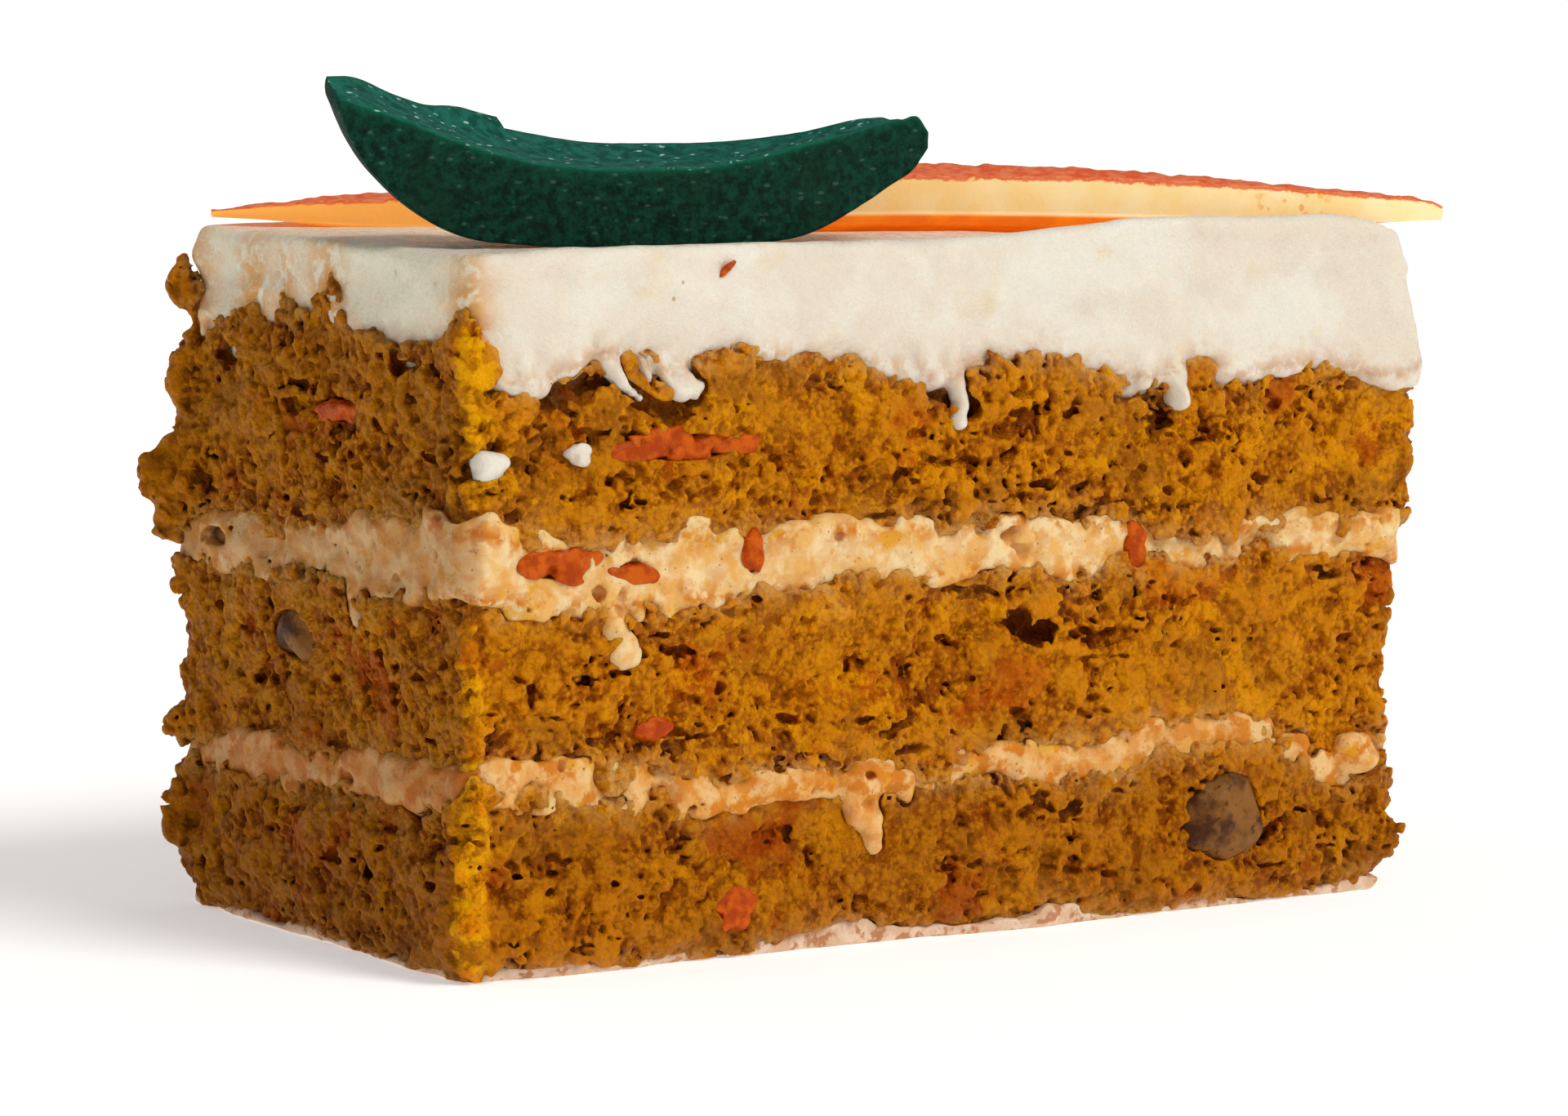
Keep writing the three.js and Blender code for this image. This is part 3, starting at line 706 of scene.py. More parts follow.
FROSTING_SMEARS = [
    ("front", [(-37.6, 52.6, 1.0), (-35.6, 49.4, 0.6), (-32.6, 47.4, 0.7), (-30.4, 46.6, 0.9),
               (-29.2, 46.9, 0.7)]),
    ("front", [(-31.6, 51.4, 1.0), (-31.0, 49.8, 0.7), (-29.2, 48.2, 1.1), (-27.8, 48.9, 0.9)]),
    ("front", [(-33.4, 51.2, 0.9), (-32.8, 49.6, 0.6)]),
    ("front", [(-29.8, 50.6, 1.1), (-28.6, 49.4, 0.9), (-28.0, 47.9, 1.0)]),
    ("front", [(-45.2, 51.4, 1.4), (-44.6, 50.0, 1.0)]),
    ("front", [(-1.8, 50.8, 1.4), (-0.9, 48.2, 0.8), (-0.4, 46.2, 0.6), (-1.0, 44.8, 0.6)]),
    ("front", [(-4.6, 50.6, 1.2), (-3.4, 48.6, 0.8)]),
    ("front", [(22.6, 49.0, 1.2), (22.9, 46.9, 0.6), (23.2, 45.6, 0.5)]),
    ("front", [(28.4, 49.4, 1.3), (28.7, 47.8, 0.8)]),
    ("front", [(19.4, 49.0, 1.2), (19.2, 47.8, 0.8)]),
    ("left", [(20.6, 52.0, 1.3), (20.8, 50.4, 0.9)]),
]


def cream_block(margin, low, high):
    """A block round the slice's plan, between two heights."""
    return Block((-HALF_LENGTH - margin, -HALF_DEPTH - margin, low),
                 (HALF_LENGTH + margin, HALF_DEPTH + margin, high), CREAM_STEP)


def bubbles(block, wall, seed, rarity, depth):
    """Small open bubbles in the cut face of a cream, to carve out of its field."""
    return (block.noise(BUBBLE_SIZE, seed) - rarity) * 0.5 - np.maximum(-wall - depth, 0)


def filling(name, node, lower, upper, seed):
    """One cream filling, cut flush with the sponge and dragged over it in places."""
    low = min(z for _, z in BOUNDARIES[lower]["front"]) - 9
    high = max(z for _, z in BOUNDARIES[upper]["front"]) + 3
    block = cream_block(3, low, high)
    wall = wall_distance(block.x, block.y, block.z)
    near = near_cut(wall)
    field = wall - CREAM_SWELL
    add_bells(block, field, [(place, spread, COVERED) for place, spread, _ in CLINGING + HANGING])
    roof = boundary_field(block, upper, near) + CREAM_OVERLAP
    ground = boundary_field(block, lower, near) - CREAM_OVERLAP
    field = smooth_max(field, block.z - roof, 0.8)
    field = smooth_max(field, ground - block.z, 0.8)
    stamp_strokes(block, field, FILLING_SMEARS)
    relief = 0.20 * block.noise((7, 7, 3), seed) + 0.16 * block.noise(2.6, seed + 1)
    relief += 0.12 * block.noise(1.1, seed + 2) + 0.06 * block.noise(0.6, seed + 3)
    field -= relief * near
    field = np.maximum(field, bubbles(block, wall, seed + 4, 1.75, 0.9))
    open_around(block, field)
    piece = field_object(name, block, field)
    mark_cream(piece, lower, upper)
    box_map(piece)
    finish_piece(piece, [node], filling_material())


STAIN_SPREAD = 1.6      # how far crumbs stain the cream round them, as a share of their spread


def mark_cream(piece, lower, upper):
    """Marks how near each point is to a sponge, and to the crumbs that cling to the cream."""
    x, y, z = points_of(piece).T
    mark_left_face_light(piece)
    crumb = np.exp(-np.abs(z - boundary_profile(lower, x, y)) / CREAM_FADE)
    if upper:
        crumb = np.maximum(crumb, np.exp(-np.abs(boundary_profile(upper, x, y) - z) / CREAM_FADE))
    add_attribute(piece, "crumb", crumb)
    clinging = np.zeros(len(x))
    for centre, spread, _ in CLINGING:
        reach = off_centre((x, y, z), centre, [STAIN_SPREAD * s for s in spread])
        clinging = np.maximum(clinging, np.exp(-reach))
    add_attribute(piece, "clinging", clinging)


# The frosting's top is level, with a lip that the knife drew up along the front edge.
LIP = [(-50, 0.1), (-40, 0.5), (-34, 0.7), (-8, 0.6), (2, 0.9), (12, 1.5), (19, 1.9), (26, 2.1), (36, 2.1),
       (42, 1.9), (45, 1.2), (48, 0.2)]
LIP_REACH = 3.6


def frosting_top_height(x, y):
    from_edge = (y + HALF_DEPTH) / LIP_REACH
    return FROSTING_TOP + through(LIP, x) * np.exp(-from_edge * from_edge)


def frosting(name, node, seed):
    """The thick frosting: a smoothed top, drawn side faces, and a ragged lower edge."""
    lower = "frosting_bottom"
    block = cream_block(3, 43, FROSTING_TOP + 3)
    wall = wall_distance(block.x, block.y, block.z)
    near = near_cut(wall)
    field = wall - 0.15
    ground = boundary_field(block, lower, near) - CREAM_OVERLAP
    field = smooth_max(field, ground - block.z, 1.0)
    stamp_strokes(block, field, FROSTING_SMEARS)
    relief = 0.20 * block.noise((12, 12, 5), seed) + 0.18 * block.noise((6, 6, 1.8), seed + 1)
    relief += 0.12 * block.noise((2.2, 2.2, 1.2), seed + 2) + 0.05 * block.noise(0.8, seed + 3)
    field -= relief * near
    field = np.maximum(field, bubbles(block, wall, seed + 4, 3.1, 0.8))
    top = frosting_top_height(block.x, block.y) + 0.10 * block.noise((10, 5, 30), seed + 5)
    top = top + 0.04 * block.noise((2.4, 1.4, 30), seed + 6)
    field = smooth_max(field, block.z - top, 1.0)
    open_around(block, field)
    piece = field_object(name, block, field)
    mark_cream(piece, lower, None)
    box_map(piece)
    finish_piece(piece, [node], frosting_material())


def base_film(name, node, seed):
    """The thin film of cream under the slice, flat on its base, smeared along the edges."""
    block = cream_block(2, -1, 3)
    wall = wall_distance(block.x, block.y, block.z + 1.2)
    near = near_cut(wall)
    relief = 0.5 * block.noise((7, 7, 20), seed) + 0.2 * block.noise(2, seed + 1)
    field = wall + 0.12 - 0.6 * relief * near
    roof = boundary_field(block, "film_top", near) + OVERLAP
    field = smooth_max(field, block.z - roof, 0.4)
    field = np.maximum(field, -block.z)
    piece = field_object(name, block, field)
    box_map(piece)
    finish_piece(piece, [node], film_material())


# ---------------------------------------------------------------- inclusions
def ball(rings, columns):
    """Points and faces of a unit ball with its poles on X."""
    angles = np.linspace(0, math.pi, rings + 1)[1:-1]
    turns = np.arange(columns) * 2 * math.pi / columns
    x = np.cos(angles)[:, None] * np.ones(columns)
    y = np.sin(angles)[:, None] * np.cos(turns)
    z = np.sin(angles)[:, None] * np.sin(turns)
    points = np.concatenate([np.stack([x, y, z], 2).reshape(-1, 3), [[1, 0, 0], [-1, 0, 0]]])
    first, last = len(points) - 2, len(points) - 1
    here = np.arange(columns)
    after = (here + 1) % columns
    rows = np.arange(rings - 2)[:, None] * columns
    quads = np.stack([rows + here, rows + columns + here, rows + columns + after, rows + after], 2)
    foot = (rings - 2) * columns
    caps = np.concatenate([
        np.stack([np.full(columns, first), here, after], 1),
        np.stack([foot + after, foot + here, np.full(columns, last)], 1),
    ])
    return points, [quads.reshape(-1, 4), caps]


SLIVERS = ("carrot_fleck_frosting",)
SLIVER_SHARE = 0.3      # thickness of a slanted sliver, as a share of its height


def inclusion(node):
    """A walnut piece, carrot shred or dab of cream, shaped inside its CAD node's box."""
    seed = 400 + 7 * INCLUSIONS.index(node)
    centre, half = inclusion_box(node)
    points, faces = ball(48, 56)
    points = np.roll(points, int(np.argmax(half)), axis=1)
    axis = cut_axis(centre)
    points[:, axis] = np.sign(points[:, axis]) * np.abs(points[:, axis]) ** PILLOW
    if node in SLIVERS:
        points[:, 2] = SLIVER_SHARE * points[:, 2] + (1 - SLIVER_SHARE) * points[:, 0]
    body = points * half * INCLUSION_FULLNESS
    shift = seed * 3.1
    if node.startswith("walnut"):
        swell = 0.08 * noise_at(body + shift, 3.0, seed) + 0.02 * noise_at(body + shift, 1.2, seed + 1)
        material, slot, flush = walnut_material(), "walnut", 2.2
    elif node.startswith("carrot"):
        swell = 0.20 * noise_at(body + shift, 2.0, seed) + 0.10 * noise_at(body + shift, 0.8, seed + 1)
        material, slot, flush = carrot_material(), "carrot", 0.15
    else:
        swell = 0.16 * noise_at(body + shift, 1.6, seed) + 0.07 * noise_at(body + shift, 0.7, seed + 1)
        material, slot, flush = frosting_material(), "cream_frosting", 0.8
    body = body * (1 + swell[:, None])
    proud = wall_distance(*(body + centre).T) - flush
    body[:, axis] -= np.sign(centre[axis]) * np.maximum(proud, 0) * PRESSED_IN
    piece = mesh_object("piece_" + node, body + centre, faces)
    finish_piece(piece, [node], material)


# ---------------------------------------------------------------- decorations
def lofted(name, rings):
    """A closed body through rings of equal count, with a fan at each end."""
    rings = np.asarray(rings, float)
    stations, count, _ = rings.shape
    points = np.concatenate([rings.reshape(-1, 3), [rings[0].mean(0)], [rings[-1].mean(0)]])
    here = np.arange(count)
    after = (here + 1) % count
    rows = np.arange(stations - 1)[:, None] * count
    quads = np.stack([rows + here, rows + after, rows + count + after, rows + count + here], 2)
    first, last = len(points) - 2, len(points) - 1
    foot = (stations - 1) * count
    caps = np.concatenate([
        np.stack([np.full(count, first), after, here], 1),
        np.stack([np.full(count, last), foot + here, foot + after], 1),
    ])
    faces = [quads.reshape(-1, 4), caps]
    a, b, c = (points[caps[:, k]] for k in range(3))
    d = [points[faces[0][:, k]] for k in range(4)]
    volume = np.einsum("ij,ij->", a, np.cross(b, c)) + sum(
        np.einsum("ij,ij->", d[0], np.cross(d[k], d[k + 1])) for k in (1, 2))
    if volume < 0:
        faces = [f[:, ::-1] for f in faces]
    return mesh_object(name, points, faces)


PLAQUE_LEFT_TIP = np.array([-48.6, 22.0])
PLAQUE_RIGHT_TIP = np.array([55.2, -21.0])
PLAQUE_HALF_WIDTH = 9.0
PLAQUE_RIM_HEIGHT = [(-1, 60.7), (-0.75, 60.3), (-0.5, 60.6), (-0.2, 61.6), (0, 61.9), (0.4, 61.75),
                     (0.66, 61.3), (0.88, 60.9), (1, 61.0)]
PLAQUE_THICKNESS = [(-1, 0.5), (-0.93, 1.2), (-0.78, 2.1), (-0.5, 2.9), (0, 3.3), (0.5, 3.2), (0.75, 2.8),
                    (0.9, 2.3), (0.97, 1.8), (1, 1.1)]
PLAQUE_DISH = 1.6       # depth of the hollow in the middle of the upper face
PLAQUE_BELLY = 2.0      # how far the rounded underside hangs below the rim


def orange_plaque():
    """The dished plaque: a coated top, a pale cut rim, and a rounded orange belly below."""
    stations, top_count, rim_count, belly_count = 420, 60, 16, 70
    share = -np.cos(np.linspace(0.02, math.pi - 0.02, stations))[:, None]
    fullness = 1 - share * share
    turn = np.linspace(0, math.pi, belly_count)
    across = np.concatenate([np.linspace(-1, 1, top_count), np.full(rim_count, 1.0),
                             np.cos(turn), np.full(rim_count, -1.0)])[None, :]
    rim_up = np.linspace(1, 0, rim_count + 1)[1:]
    up = np.concatenate([np.ones(top_count), rim_up, np.zeros(belly_count), rim_up[::-1]])[None, :]
    sag = np.sin(turn) ** 0.6
    hang = np.concatenate([np.zeros(top_count + rim_count), sag, np.zeros(rim_count)])[None, :]
    axis = PLAQUE_RIGHT_TIP - PLAQUE_LEFT_TIP
    side = np.array([-axis[1], axis[0]]) / np.linalg.norm(axis)
    half_width = 0.5 + PLAQUE_HALF_WIDTH * fullness
    plan = PLAQUE_LEFT_TIP + axis * ((share + 1) / 2)[..., None] + side * (across * half_width)[..., None]
    thickness = through(PLAQUE_THICKNESS, share)
    dish = PLAQUE_DISH * fullness ** 1.5 * (1 - across ** 2)
    heights = through(PLAQUE_RIM_HEIGHT, share) + up * thickness - np.where(up == 1, dish, 0)
    heights = heights - hang * PLAQUE_BELLY * ease(fullness, 0.1, 0.8)
    points = np.concatenate([plan, heights[..., None]], -1)
    flat = points.reshape(-1, 3)
    up = np.broadcast_to(up, heights.shape).reshape(-1)
    edge = np.broadcast_to(np.abs(across) > 0.999, heights.shape).reshape(-1)
    outward = np.broadcast_to(np.sign(across), heights.shape).reshape(-1)
    coat = ease(up, 0.8, 1.0)
    flat[:, 2] += coat * (0.06 * noise_at(flat, 1.8, 900) + 0.045 * noise_at(flat, 0.7, 901))
    push = 0.14 * np.sin(up * math.pi) + 0.04 * noise_at(flat, 3, 902)
    push = push + coat * 0.05 * noise_at(flat, 1.2, 903)
    flat[:, :2] += side * (outward * push * edge)[:, None]
    piece = lofted("orange_plaque_body", flat.reshape(points.shape))
    add_attribute(piece, "through", np.concatenate([up, [0.5, 0.5]]))
    add_attribute(piece, "rim", np.concatenate([edge.astype(float), [1, 1]]))
    finish_piece(piece, ["orange_plaque"], plaque_material())


LEAF_MIDDLE = np.array([-28.6, -15.4])
LEAF_TURN = math.radians(-8)
LEAF_REACH = 27.4
LEAF_TOP_EDGE = [(-27.4, 72.6), (-22.1, 70.9), (-15.4, 68.6), (-8, 67.0), (-1.5, 66.7), (4, 66.8),
                 (9.1, 67.3), (15.2, 68.7), (19.8, 69.8), (24.5, 70.7), (26.6, 70.6), (27.4, 69.6)]
LEAF_LOW_EDGE = [(-27.4, 71.6), (-26.6, 69.6), (-25.4, 67.6), (-23.2, 65.2), (-19.4, 62.4), (-16.5, 61.1),
                 (-12.3, 60.5), (-6.4, 60.2), (0, 60.2), (11, 60.3), (15, 60.9), (20.2, 63.1), (23.3, 64.9),
                 (26.2, 66.7), (27.4, 68.2)]
LEAF_BACK_EDGE = [(-27.4, 74.3), (-24, 74.1), (-20, 72.7), (-15, 71.3), (-10, 70.0), (-5, 69.0), (0, 68.3),
                  (6, 68.2), (12, 68.4), (18, 69.3), (24, 70.6), (27.4, 70.0)]
LEAF_DEPTH = [(-27.4, 3.0), (-25, 4.8), (-20, 7.4), (-12, 10.8), (-2, 12.2), (8, 11.2), (16, 8.0), (22, 4.8),
              (26, 2.8), (27.4, 1.8)]
LEAF_BOW = 1.6
# Where the back rim's lip starts, is full and stops, and its height.
LEAF_LIP = (-17.0, -12.0, -8.2, 0.8)


def green_leaf():
    """The leaf: an upright front face, a hollowed upper face, and a belly it rests on."""
    stations, per_side = 300, 26
    s = -np.cos(np.linspace(0.03, math.pi - 0.03, stations)) * LEAF_REACH
    along = np.array([math.cos(LEAF_TURN), math.sin(LEAF_TURN)])
    back = np.array([-along[1], along[0]])
    fullness = 1 - (s / LEAF_REACH) ** 2
    top, low, rear = (through(k, s) for k in (LEAF_TOP_EDGE, LEAF_LOW_EDGE, LEAF_BACK_EDGE))
    depth = through(LEAF_DEPTH, s)
    lip_start, lip_full, lip_stop, lip_height = LEAF_LIP
    lip = lip_height * ease(s, lip_start, lip_full) * ease(lip_stop - s, 0, 0.5)
    t = np.linspace(0, 1, per_side, endpoint=False)[None, :]
    front_z = low[:, None] + (top - low)[:, None] * t
    front_in = np.zeros_like(front_z)
    dip = 0.9 * fullness[:, None]
    upper_in = depth[:, None] * t
    lip_share = ease(t, 0.86, 0.93)
    upper_z = (top[:, None] * (1 - t) + rear[:, None] * t - dip * np.sin(math.pi * t)
               + lip[:, None] * lip_share)
    rear_low = low + (rear - low) * 0.42
    rear_z = (rear + lip)[:, None] * (1 - t) + rear_low[:, None] * t
    rear_in = depth[:, None] * np.ones_like(t) + 0.35 * np.sin(math.pi * t)
    belly_in = depth[:, None] * (1 - t)
    belly_z = low[:, None] + (rear_low - low)[:, None] * (1 - t) ** 2.2
    into = np.concatenate([front_in, upper_in, rear_in, belly_in], 1)
    z = np.concatenate([front_z, upper_z, rear_z, belly_z], 1)
    into = into - (LEAF_BOW * fullness)[:, None]
    plan = LEAF_MIDDLE + along * s[:, None, None] + back * into[..., None]
    points = np.concatenate([plan, z[..., None]], -1)
    flat = points.reshape(-1, 3)
    which = np.repeat(np.arange(4), per_side)[None, :] * np.ones((stations, 1))
    upper = (which == 1).reshape(-1)
    rough = 0.035 * noise_at(flat, 3.0, 920) + 0.022 * noise_at(flat, 0.8, 921)
    flat[:, 2] += rough * np.where(upper, 2.4, 0.3)
    flat[:, :2] += back * (rough * np.where(upper, 0, 1.0))[:, None]
    piece = lofted("green_leaf_body", flat.reshape(points.shape))
    add_attribute(piece, "upper", np.concatenate([upper.astype(float), [0, 0]]))
    # edge: nearness to the leaf's crisp edges, for their painted highlight
    from_rim = np.minimum(t, 1 - t) * np.maximum(depth, 2)[:, None]
    edge = np.exp(-np.concatenate([(1 - t) * (top - low)[:, None], from_rim, t * depth[:, None],
                                   np.full(from_rim.shape, 9.0)], 1) / 0.35)
    add_attribute(piece, "edge", np.concatenate([edge.reshape(-1), [0, 0]]))
    finish_piece(piece, ["green_leaf"], leaf_material())


# ---------------------------------------------------------------- materials
def linear(red, green, blue):
    """A colour given as screen values from 0 to 255, as the linear values that shaders take."""
    values = [c / 255 for c in (red, green, blue)]
    return tuple(c / 12.92 if c <= 0.04045 else ((c + 0.055) / 1.055) ** 2.4 for c in values) + (1.0,)


# The sockets of a Mix node that blends colours: its share, its two colours and its result.
MIX_SHARE, MIX_A, MIX_B, MIX_RESULT = 0, 6, 7, 2


class Nodes:
    """A short way to wire a material's node tree."""

    def __init__(self, name):
        self.material = bpy.data.materials.new(name)
        self.material.use_nodes = True
        self.tree = self.material.node_tree
        self.shader = self.tree.nodes["Principled BSDF"]
        self.place = self.node("TexCoord").outputs["Object"]

    def feed(self, socket, value):
        """Gives a socket a value, or links another node's output to it."""
        if isinstance(value, bpy.types.NodeSocket):
            self.tree.links.new(value, socket)
        else:
            socket.default_value = value

    def feed_all(self, node, inputs):
        for name, value in inputs.items():
            self.feed(node.inputs[name.replace("_", " ")], value)

    def node(self, kind, **inputs):
        """A new node, with its inputs given by name."""
        node = self.tree.nodes.new("ShaderNode" + kind)
        self.feed_all(node, inputs)
        return node

    def set(self, **inputs):
        """Feeds the material's shader."""
        self.feed_all(self.shader, inputs)

    def noise(self, size_mm, detail=3.0, roughness=0.6, distortion=0.0):
        """Noise with features of about a size in mm, from 0 to 1."""
        node = self.node("TexNoise", Vector=self.place, Scale=1 / (size_mm * MM), Detail=detail,
                         Roughness=roughness, Distortion=distortion)
        return node.outputs["Fac"]

    def cells(self, size_mm, place=None):
        """Distance to the nearest of many scattered points, about a size in mm apart."""
        node = self.node("TexVoronoi", Vector=place or self.place, Scale=1 / (size_mm * MM))
        return node.outputs["Distance"]

    def stretched_cells(self, size_mm):
        """The same, turned and drawn out into short strokes."""
        turned = self.node("Mapping", Vector=self.place, Scale=(0.55, 1.2, 1.2), Rotation=(0.2, 0.4, 0.5))
        return self.cells(size_mm, turned.outputs["Vector"])

    def attribute(self, name):
        node = self.node("Attribute")
        node.attribute_name = name
        return node.outputs["Fac"]

    def spread(self, value, low, high, to_low=0.0, to_high=1.0):
        """Maps a value from one range to another, held at both ends."""
        node = self.node("MapRange", Value=value, From_Min=low, From_Max=high, To_Min=to_low, To_Max=to_high)
        node.interpolation_type = "SMOOTHSTEP"
        return node.outputs["Result"]

    def maths(self, operation, a, b):
        node = self.node("Math")
        node.operation = operation
        self.feed(node.inputs[0], a)
        self.feed(node.inputs[1], b)
        return node.outputs["Value"]

    def times(self, a, b):
        return self.maths("MULTIPLY", a, b)

    def mix(self, share, a, b, blend="MIX"):
        """Blends two colours by a share: each a socket, or screen values from 0 to 255."""
        node = self.node("Mix")
        node.data_type = "RGBA"
        node.blend_type = blend
        self.feed(node.inputs[MIX_SHARE], share)
        for socket, colour in ((MIX_A, a), (MIX_B, b)):
            self.feed(node.inputs[socket], linear(*colour) if isinstance(colour, tuple) else colour)
        return node.outputs[MIX_RESULT]

    def tint(self, share, colour, blend="MIX"):
        """Blends a new colour into the colour so far."""
        self.colour = self.mix(share, self.colour, colour, blend)

    def paint(self):
        self.set(Base_Color=self.colour)

    def ramp(self, value, stops):
        """A colour ramp from (place, colour) stops."""
        node = self.node("ValToRGB", Fac=value)
        elements = node.color_ramp.elements
        while len(elements) < len(stops):
            elements.new(0.5)
        for element, (place, colour) in zip(elements, stops):
            element.position = place
            element.color = linear(*colour)
        return node.outputs["Color"]

    def separate(self, axis):
        """Place along one of the object's axes, in metres."""
        return self.node("SeparateXYZ", Vector=self.place).outputs[axis]

    def bump(self, height, distance_mm):
        node = self.node("Bump", Strength=1.0, Distance=distance_mm * MM, Height=height)
        self.set(Normal=node.outputs["Normal"])

    def soft(self, weight, scale_mm, radius):
        """Light that goes in and comes out nearby."""
        self.set(Subsurface_Weight=weight, Subsurface_Scale=scale_mm * MM, Subsurface_Radius=radius)


@cache
def sponge_material():
    n = Nodes("sponge")
    relief = n.attribute("relief")
    shade = n.attribute("shade")
    cream = n.attribute("cream")
    beads = n.cells(0.62)
    # The crumb's colour runs from dark in the pores and between the beads to gold on raised crumb: painted
    # shade and painted highlight, with each grain's own tone and random tone mixed in.
    height = n.maths("ADD", n.spread(relief, -1.5, 0.35), n.spread(shade, -0.8, 0.8, -0.14, 0.14))
    height = n.maths("ADD", height, n.spread(n.noise(0.45, 3, 0.6), 0.3, 0.7, -0.12, 0.12))
    height = n.maths("ADD", height, n.spread(beads, 0.15, 0.7, 0.10, -0.16))
    n.colour = n.ramp(height, [
        (0.0, (98, 38, 0)),
        (0.35, (132, 60, 0)),
        (0.65, (158, 82, 0)),
        (1.0, (208, 132, 4)),
    ])
    tan = n.spread(n.noise(9, 4, 0.6, 0.5), 0.50, 0.62, 0, 0.5)
    n.tint(tan, (160, 98, 14))
    orange = n.spread(n.noise(7, 3, 0.55), 0.56, 0.68, 0, 0.6)
    n.tint(orange, (184, 72, 0))
    yellow = n.spread(n.noise(4.2, 6, 0.75, 0.4), 0.54, 0.62, 0, 0.8)
    n.tint(yellow, (230, 152, 0))
    smear = n.times(cream, n.spread(n.noise(1.4, 4, 0.65), 0.38, 0.56))
    n.tint(n.times(smear, 0.8), (214, 160, 86))
    # painted highlight: crumb that stands out of the cut is tinted brighter gold
    edge = n.times(n.spread(n.attribute("proud"), 0.25, 1.1), n.spread(shade, -0.6, 0.4, 0.35, 0.8))
    n.tint(edge, (216, 134, 2))
    low = n.spread(n.separate("Z"), 0.011, 0.016, 0.75, 0.0)
    n.tint(low, (220, 212, 200), "MULTIPLY")
    # painted highlight along the near corner's edge, in orange crumb tones lower down and yellow ones higher
    # up and in patches
    corner_highlight = n.times(n.attribute("corner"), n.spread(n.noise(1.8, 4, 0.65), 0.42, 0.58, 0.1, 0.9))
    upper = n.spread(n.separate("Z"), 0.036, 0.042)
    yellowness = n.maths("MAXIMUM", upper, n.spread(n.noise(8, 2), 0.42, 0.56))
    corner_highlight_colour = n.mix(yellowness, (222, 112, 0), (246, 174, 0))
    # painted shade: the crumb on the left cut face is darkened
    n.tint(n.attribute("left_face_light"), (224, 222, 200), "MULTIPLY")
    n.colour = n.mix(corner_highlight, n.colour, corner_highlight_colour)
    n.paint()
    n.set(Roughness=n.spread(n.noise(0.8, 2), 0.4, 0.62, 0.28, 0.6))
    n.set(Specular_IOR_Level=0.10, Specular_Tint=(1.0, 0.8, 0.4, 1.0))
    n.soft(0.4, 1.3, (1.0, 0.45, 0.06))
    n.bump(n.maths("SUBTRACT", n.noise(0.25, 3, 0.6), n.spread(beads, 0.1, 0.8, 0.0, 0.9)), 0.22)
    return n.material


@cache
def filling_material():
    n = Nodes("cream_filling")
    crumb = n.attribute("crumb")
    base = n.mix(n.spread(n.noise(2.6, 4, 0.6), 0.38, 0.62), (236, 182, 100), (246, 216, 162))
    low = n.spread(n.separate("Z"), 0.020, 0.026, 0.9, 0.0)
    base = n.mix(low, base, (246, 226, 198), "MULTIPLY")
    reach = n.maths("ADD", crumb, n.spread(low, 0, 1, 0.2, 0.55))
    stain = n.times(reach, n.spread(n.noise(1.8, 4, 0.6), 0.44, 0.60))
    n.colour = n.mix(n.times(stain, 0.95), base, (212, 128, 14))
    yellow = n.spread(n.noise(2.4, 3), 0.58, 0.66, 0, 0.75)
    n.tint(yellow, (230, 164, 16))
    n.tint(n.spread(n.cells(0.95), 0.06, 0.14, 0.6, 0), (140, 84, 24))
    # painted shade: the cream on the left cut face is darkened
    n.tint(n.attribute("left_face_light"), (220, 204, 190), "MULTIPLY")
    n.paint()
    n.set(Roughness=0.45, Specular_IOR_Level=0.25)
    n.soft(0.4, 1.5, (1.0, 0.7, 0.4))
    n.bump(n.noise(0.4, 4, 0.65), 0.14)
    return n.material


@cache
def frosting_material():
    n = Nodes("cream_frosting")
    crumb = n.attribute("crumb")
    base = n.mix(n.spread(n.noise(9, 3), 0.4, 0.62), (243, 231, 212), (251, 242, 226))
    # painted light: the frosting on the left cut face is made paler and warmer
    base = n.mix(n.times(n.attribute("left_face_light"), 0.7), base, (255, 242, 212))
    stain = n.times(crumb, n.spread(n.noise(1.3, 4), 0.40, 0.60))
    n.colour = n.mix(n.times(stain, 0.75), base, (214, 160, 100))
    pink = n.times(crumb, n.spread(n.noise(3.4, 2), 0.48, 0.62))
    n.tint(n.times(pink, 0.5), (204, 160, 140))
    yellow = n.times(n.attribute("clinging"), n.spread(n.noise(1.7, 3), 0.36, 0.54))
    n.tint(yellow, (226, 154, 12))
    warm = n.spread(n.noise(5, 2), 0.6, 0.72, 0, 0.4)
    n.tint(warm, (240, 218, 172))
    flecks = n.spread(n.cells(5.0), 0.025, 0.05, 0.6, 0)
    n.tint(flecks, (168, 138, 66))
    n.paint()
    n.set(Roughness=n.spread(n.noise(1.2, 3), 0.35, 0.65, 0.16, 0.46), Specular_IOR_Level=0.5)
    n.soft(0.5, 1.6, (1.0, 0.8, 0.6))
    n.bump(n.noise(0.45, 5, 0.7), 0.22)
    return n.material


@cache
def film_material():
    n = Nodes("cream_film")
    base = n.mix(n.spread(n.noise(2.4, 3), 0.42, 0.6), (216, 178, 144), (230, 202, 176))
    crumbs = n.spread(n.noise(1.4, 3), 0.52, 0.62, 0, 0.8)
    n.colour = n.mix(crumbs, base, (176, 104, 30))
    n.paint()
    n.set(Roughness=0.5)
    n.soft(0.35, 1.2, (1.0, 0.6, 0.35))
    n.bump(n.noise(0.5, 4), 0.12)
    return n.material


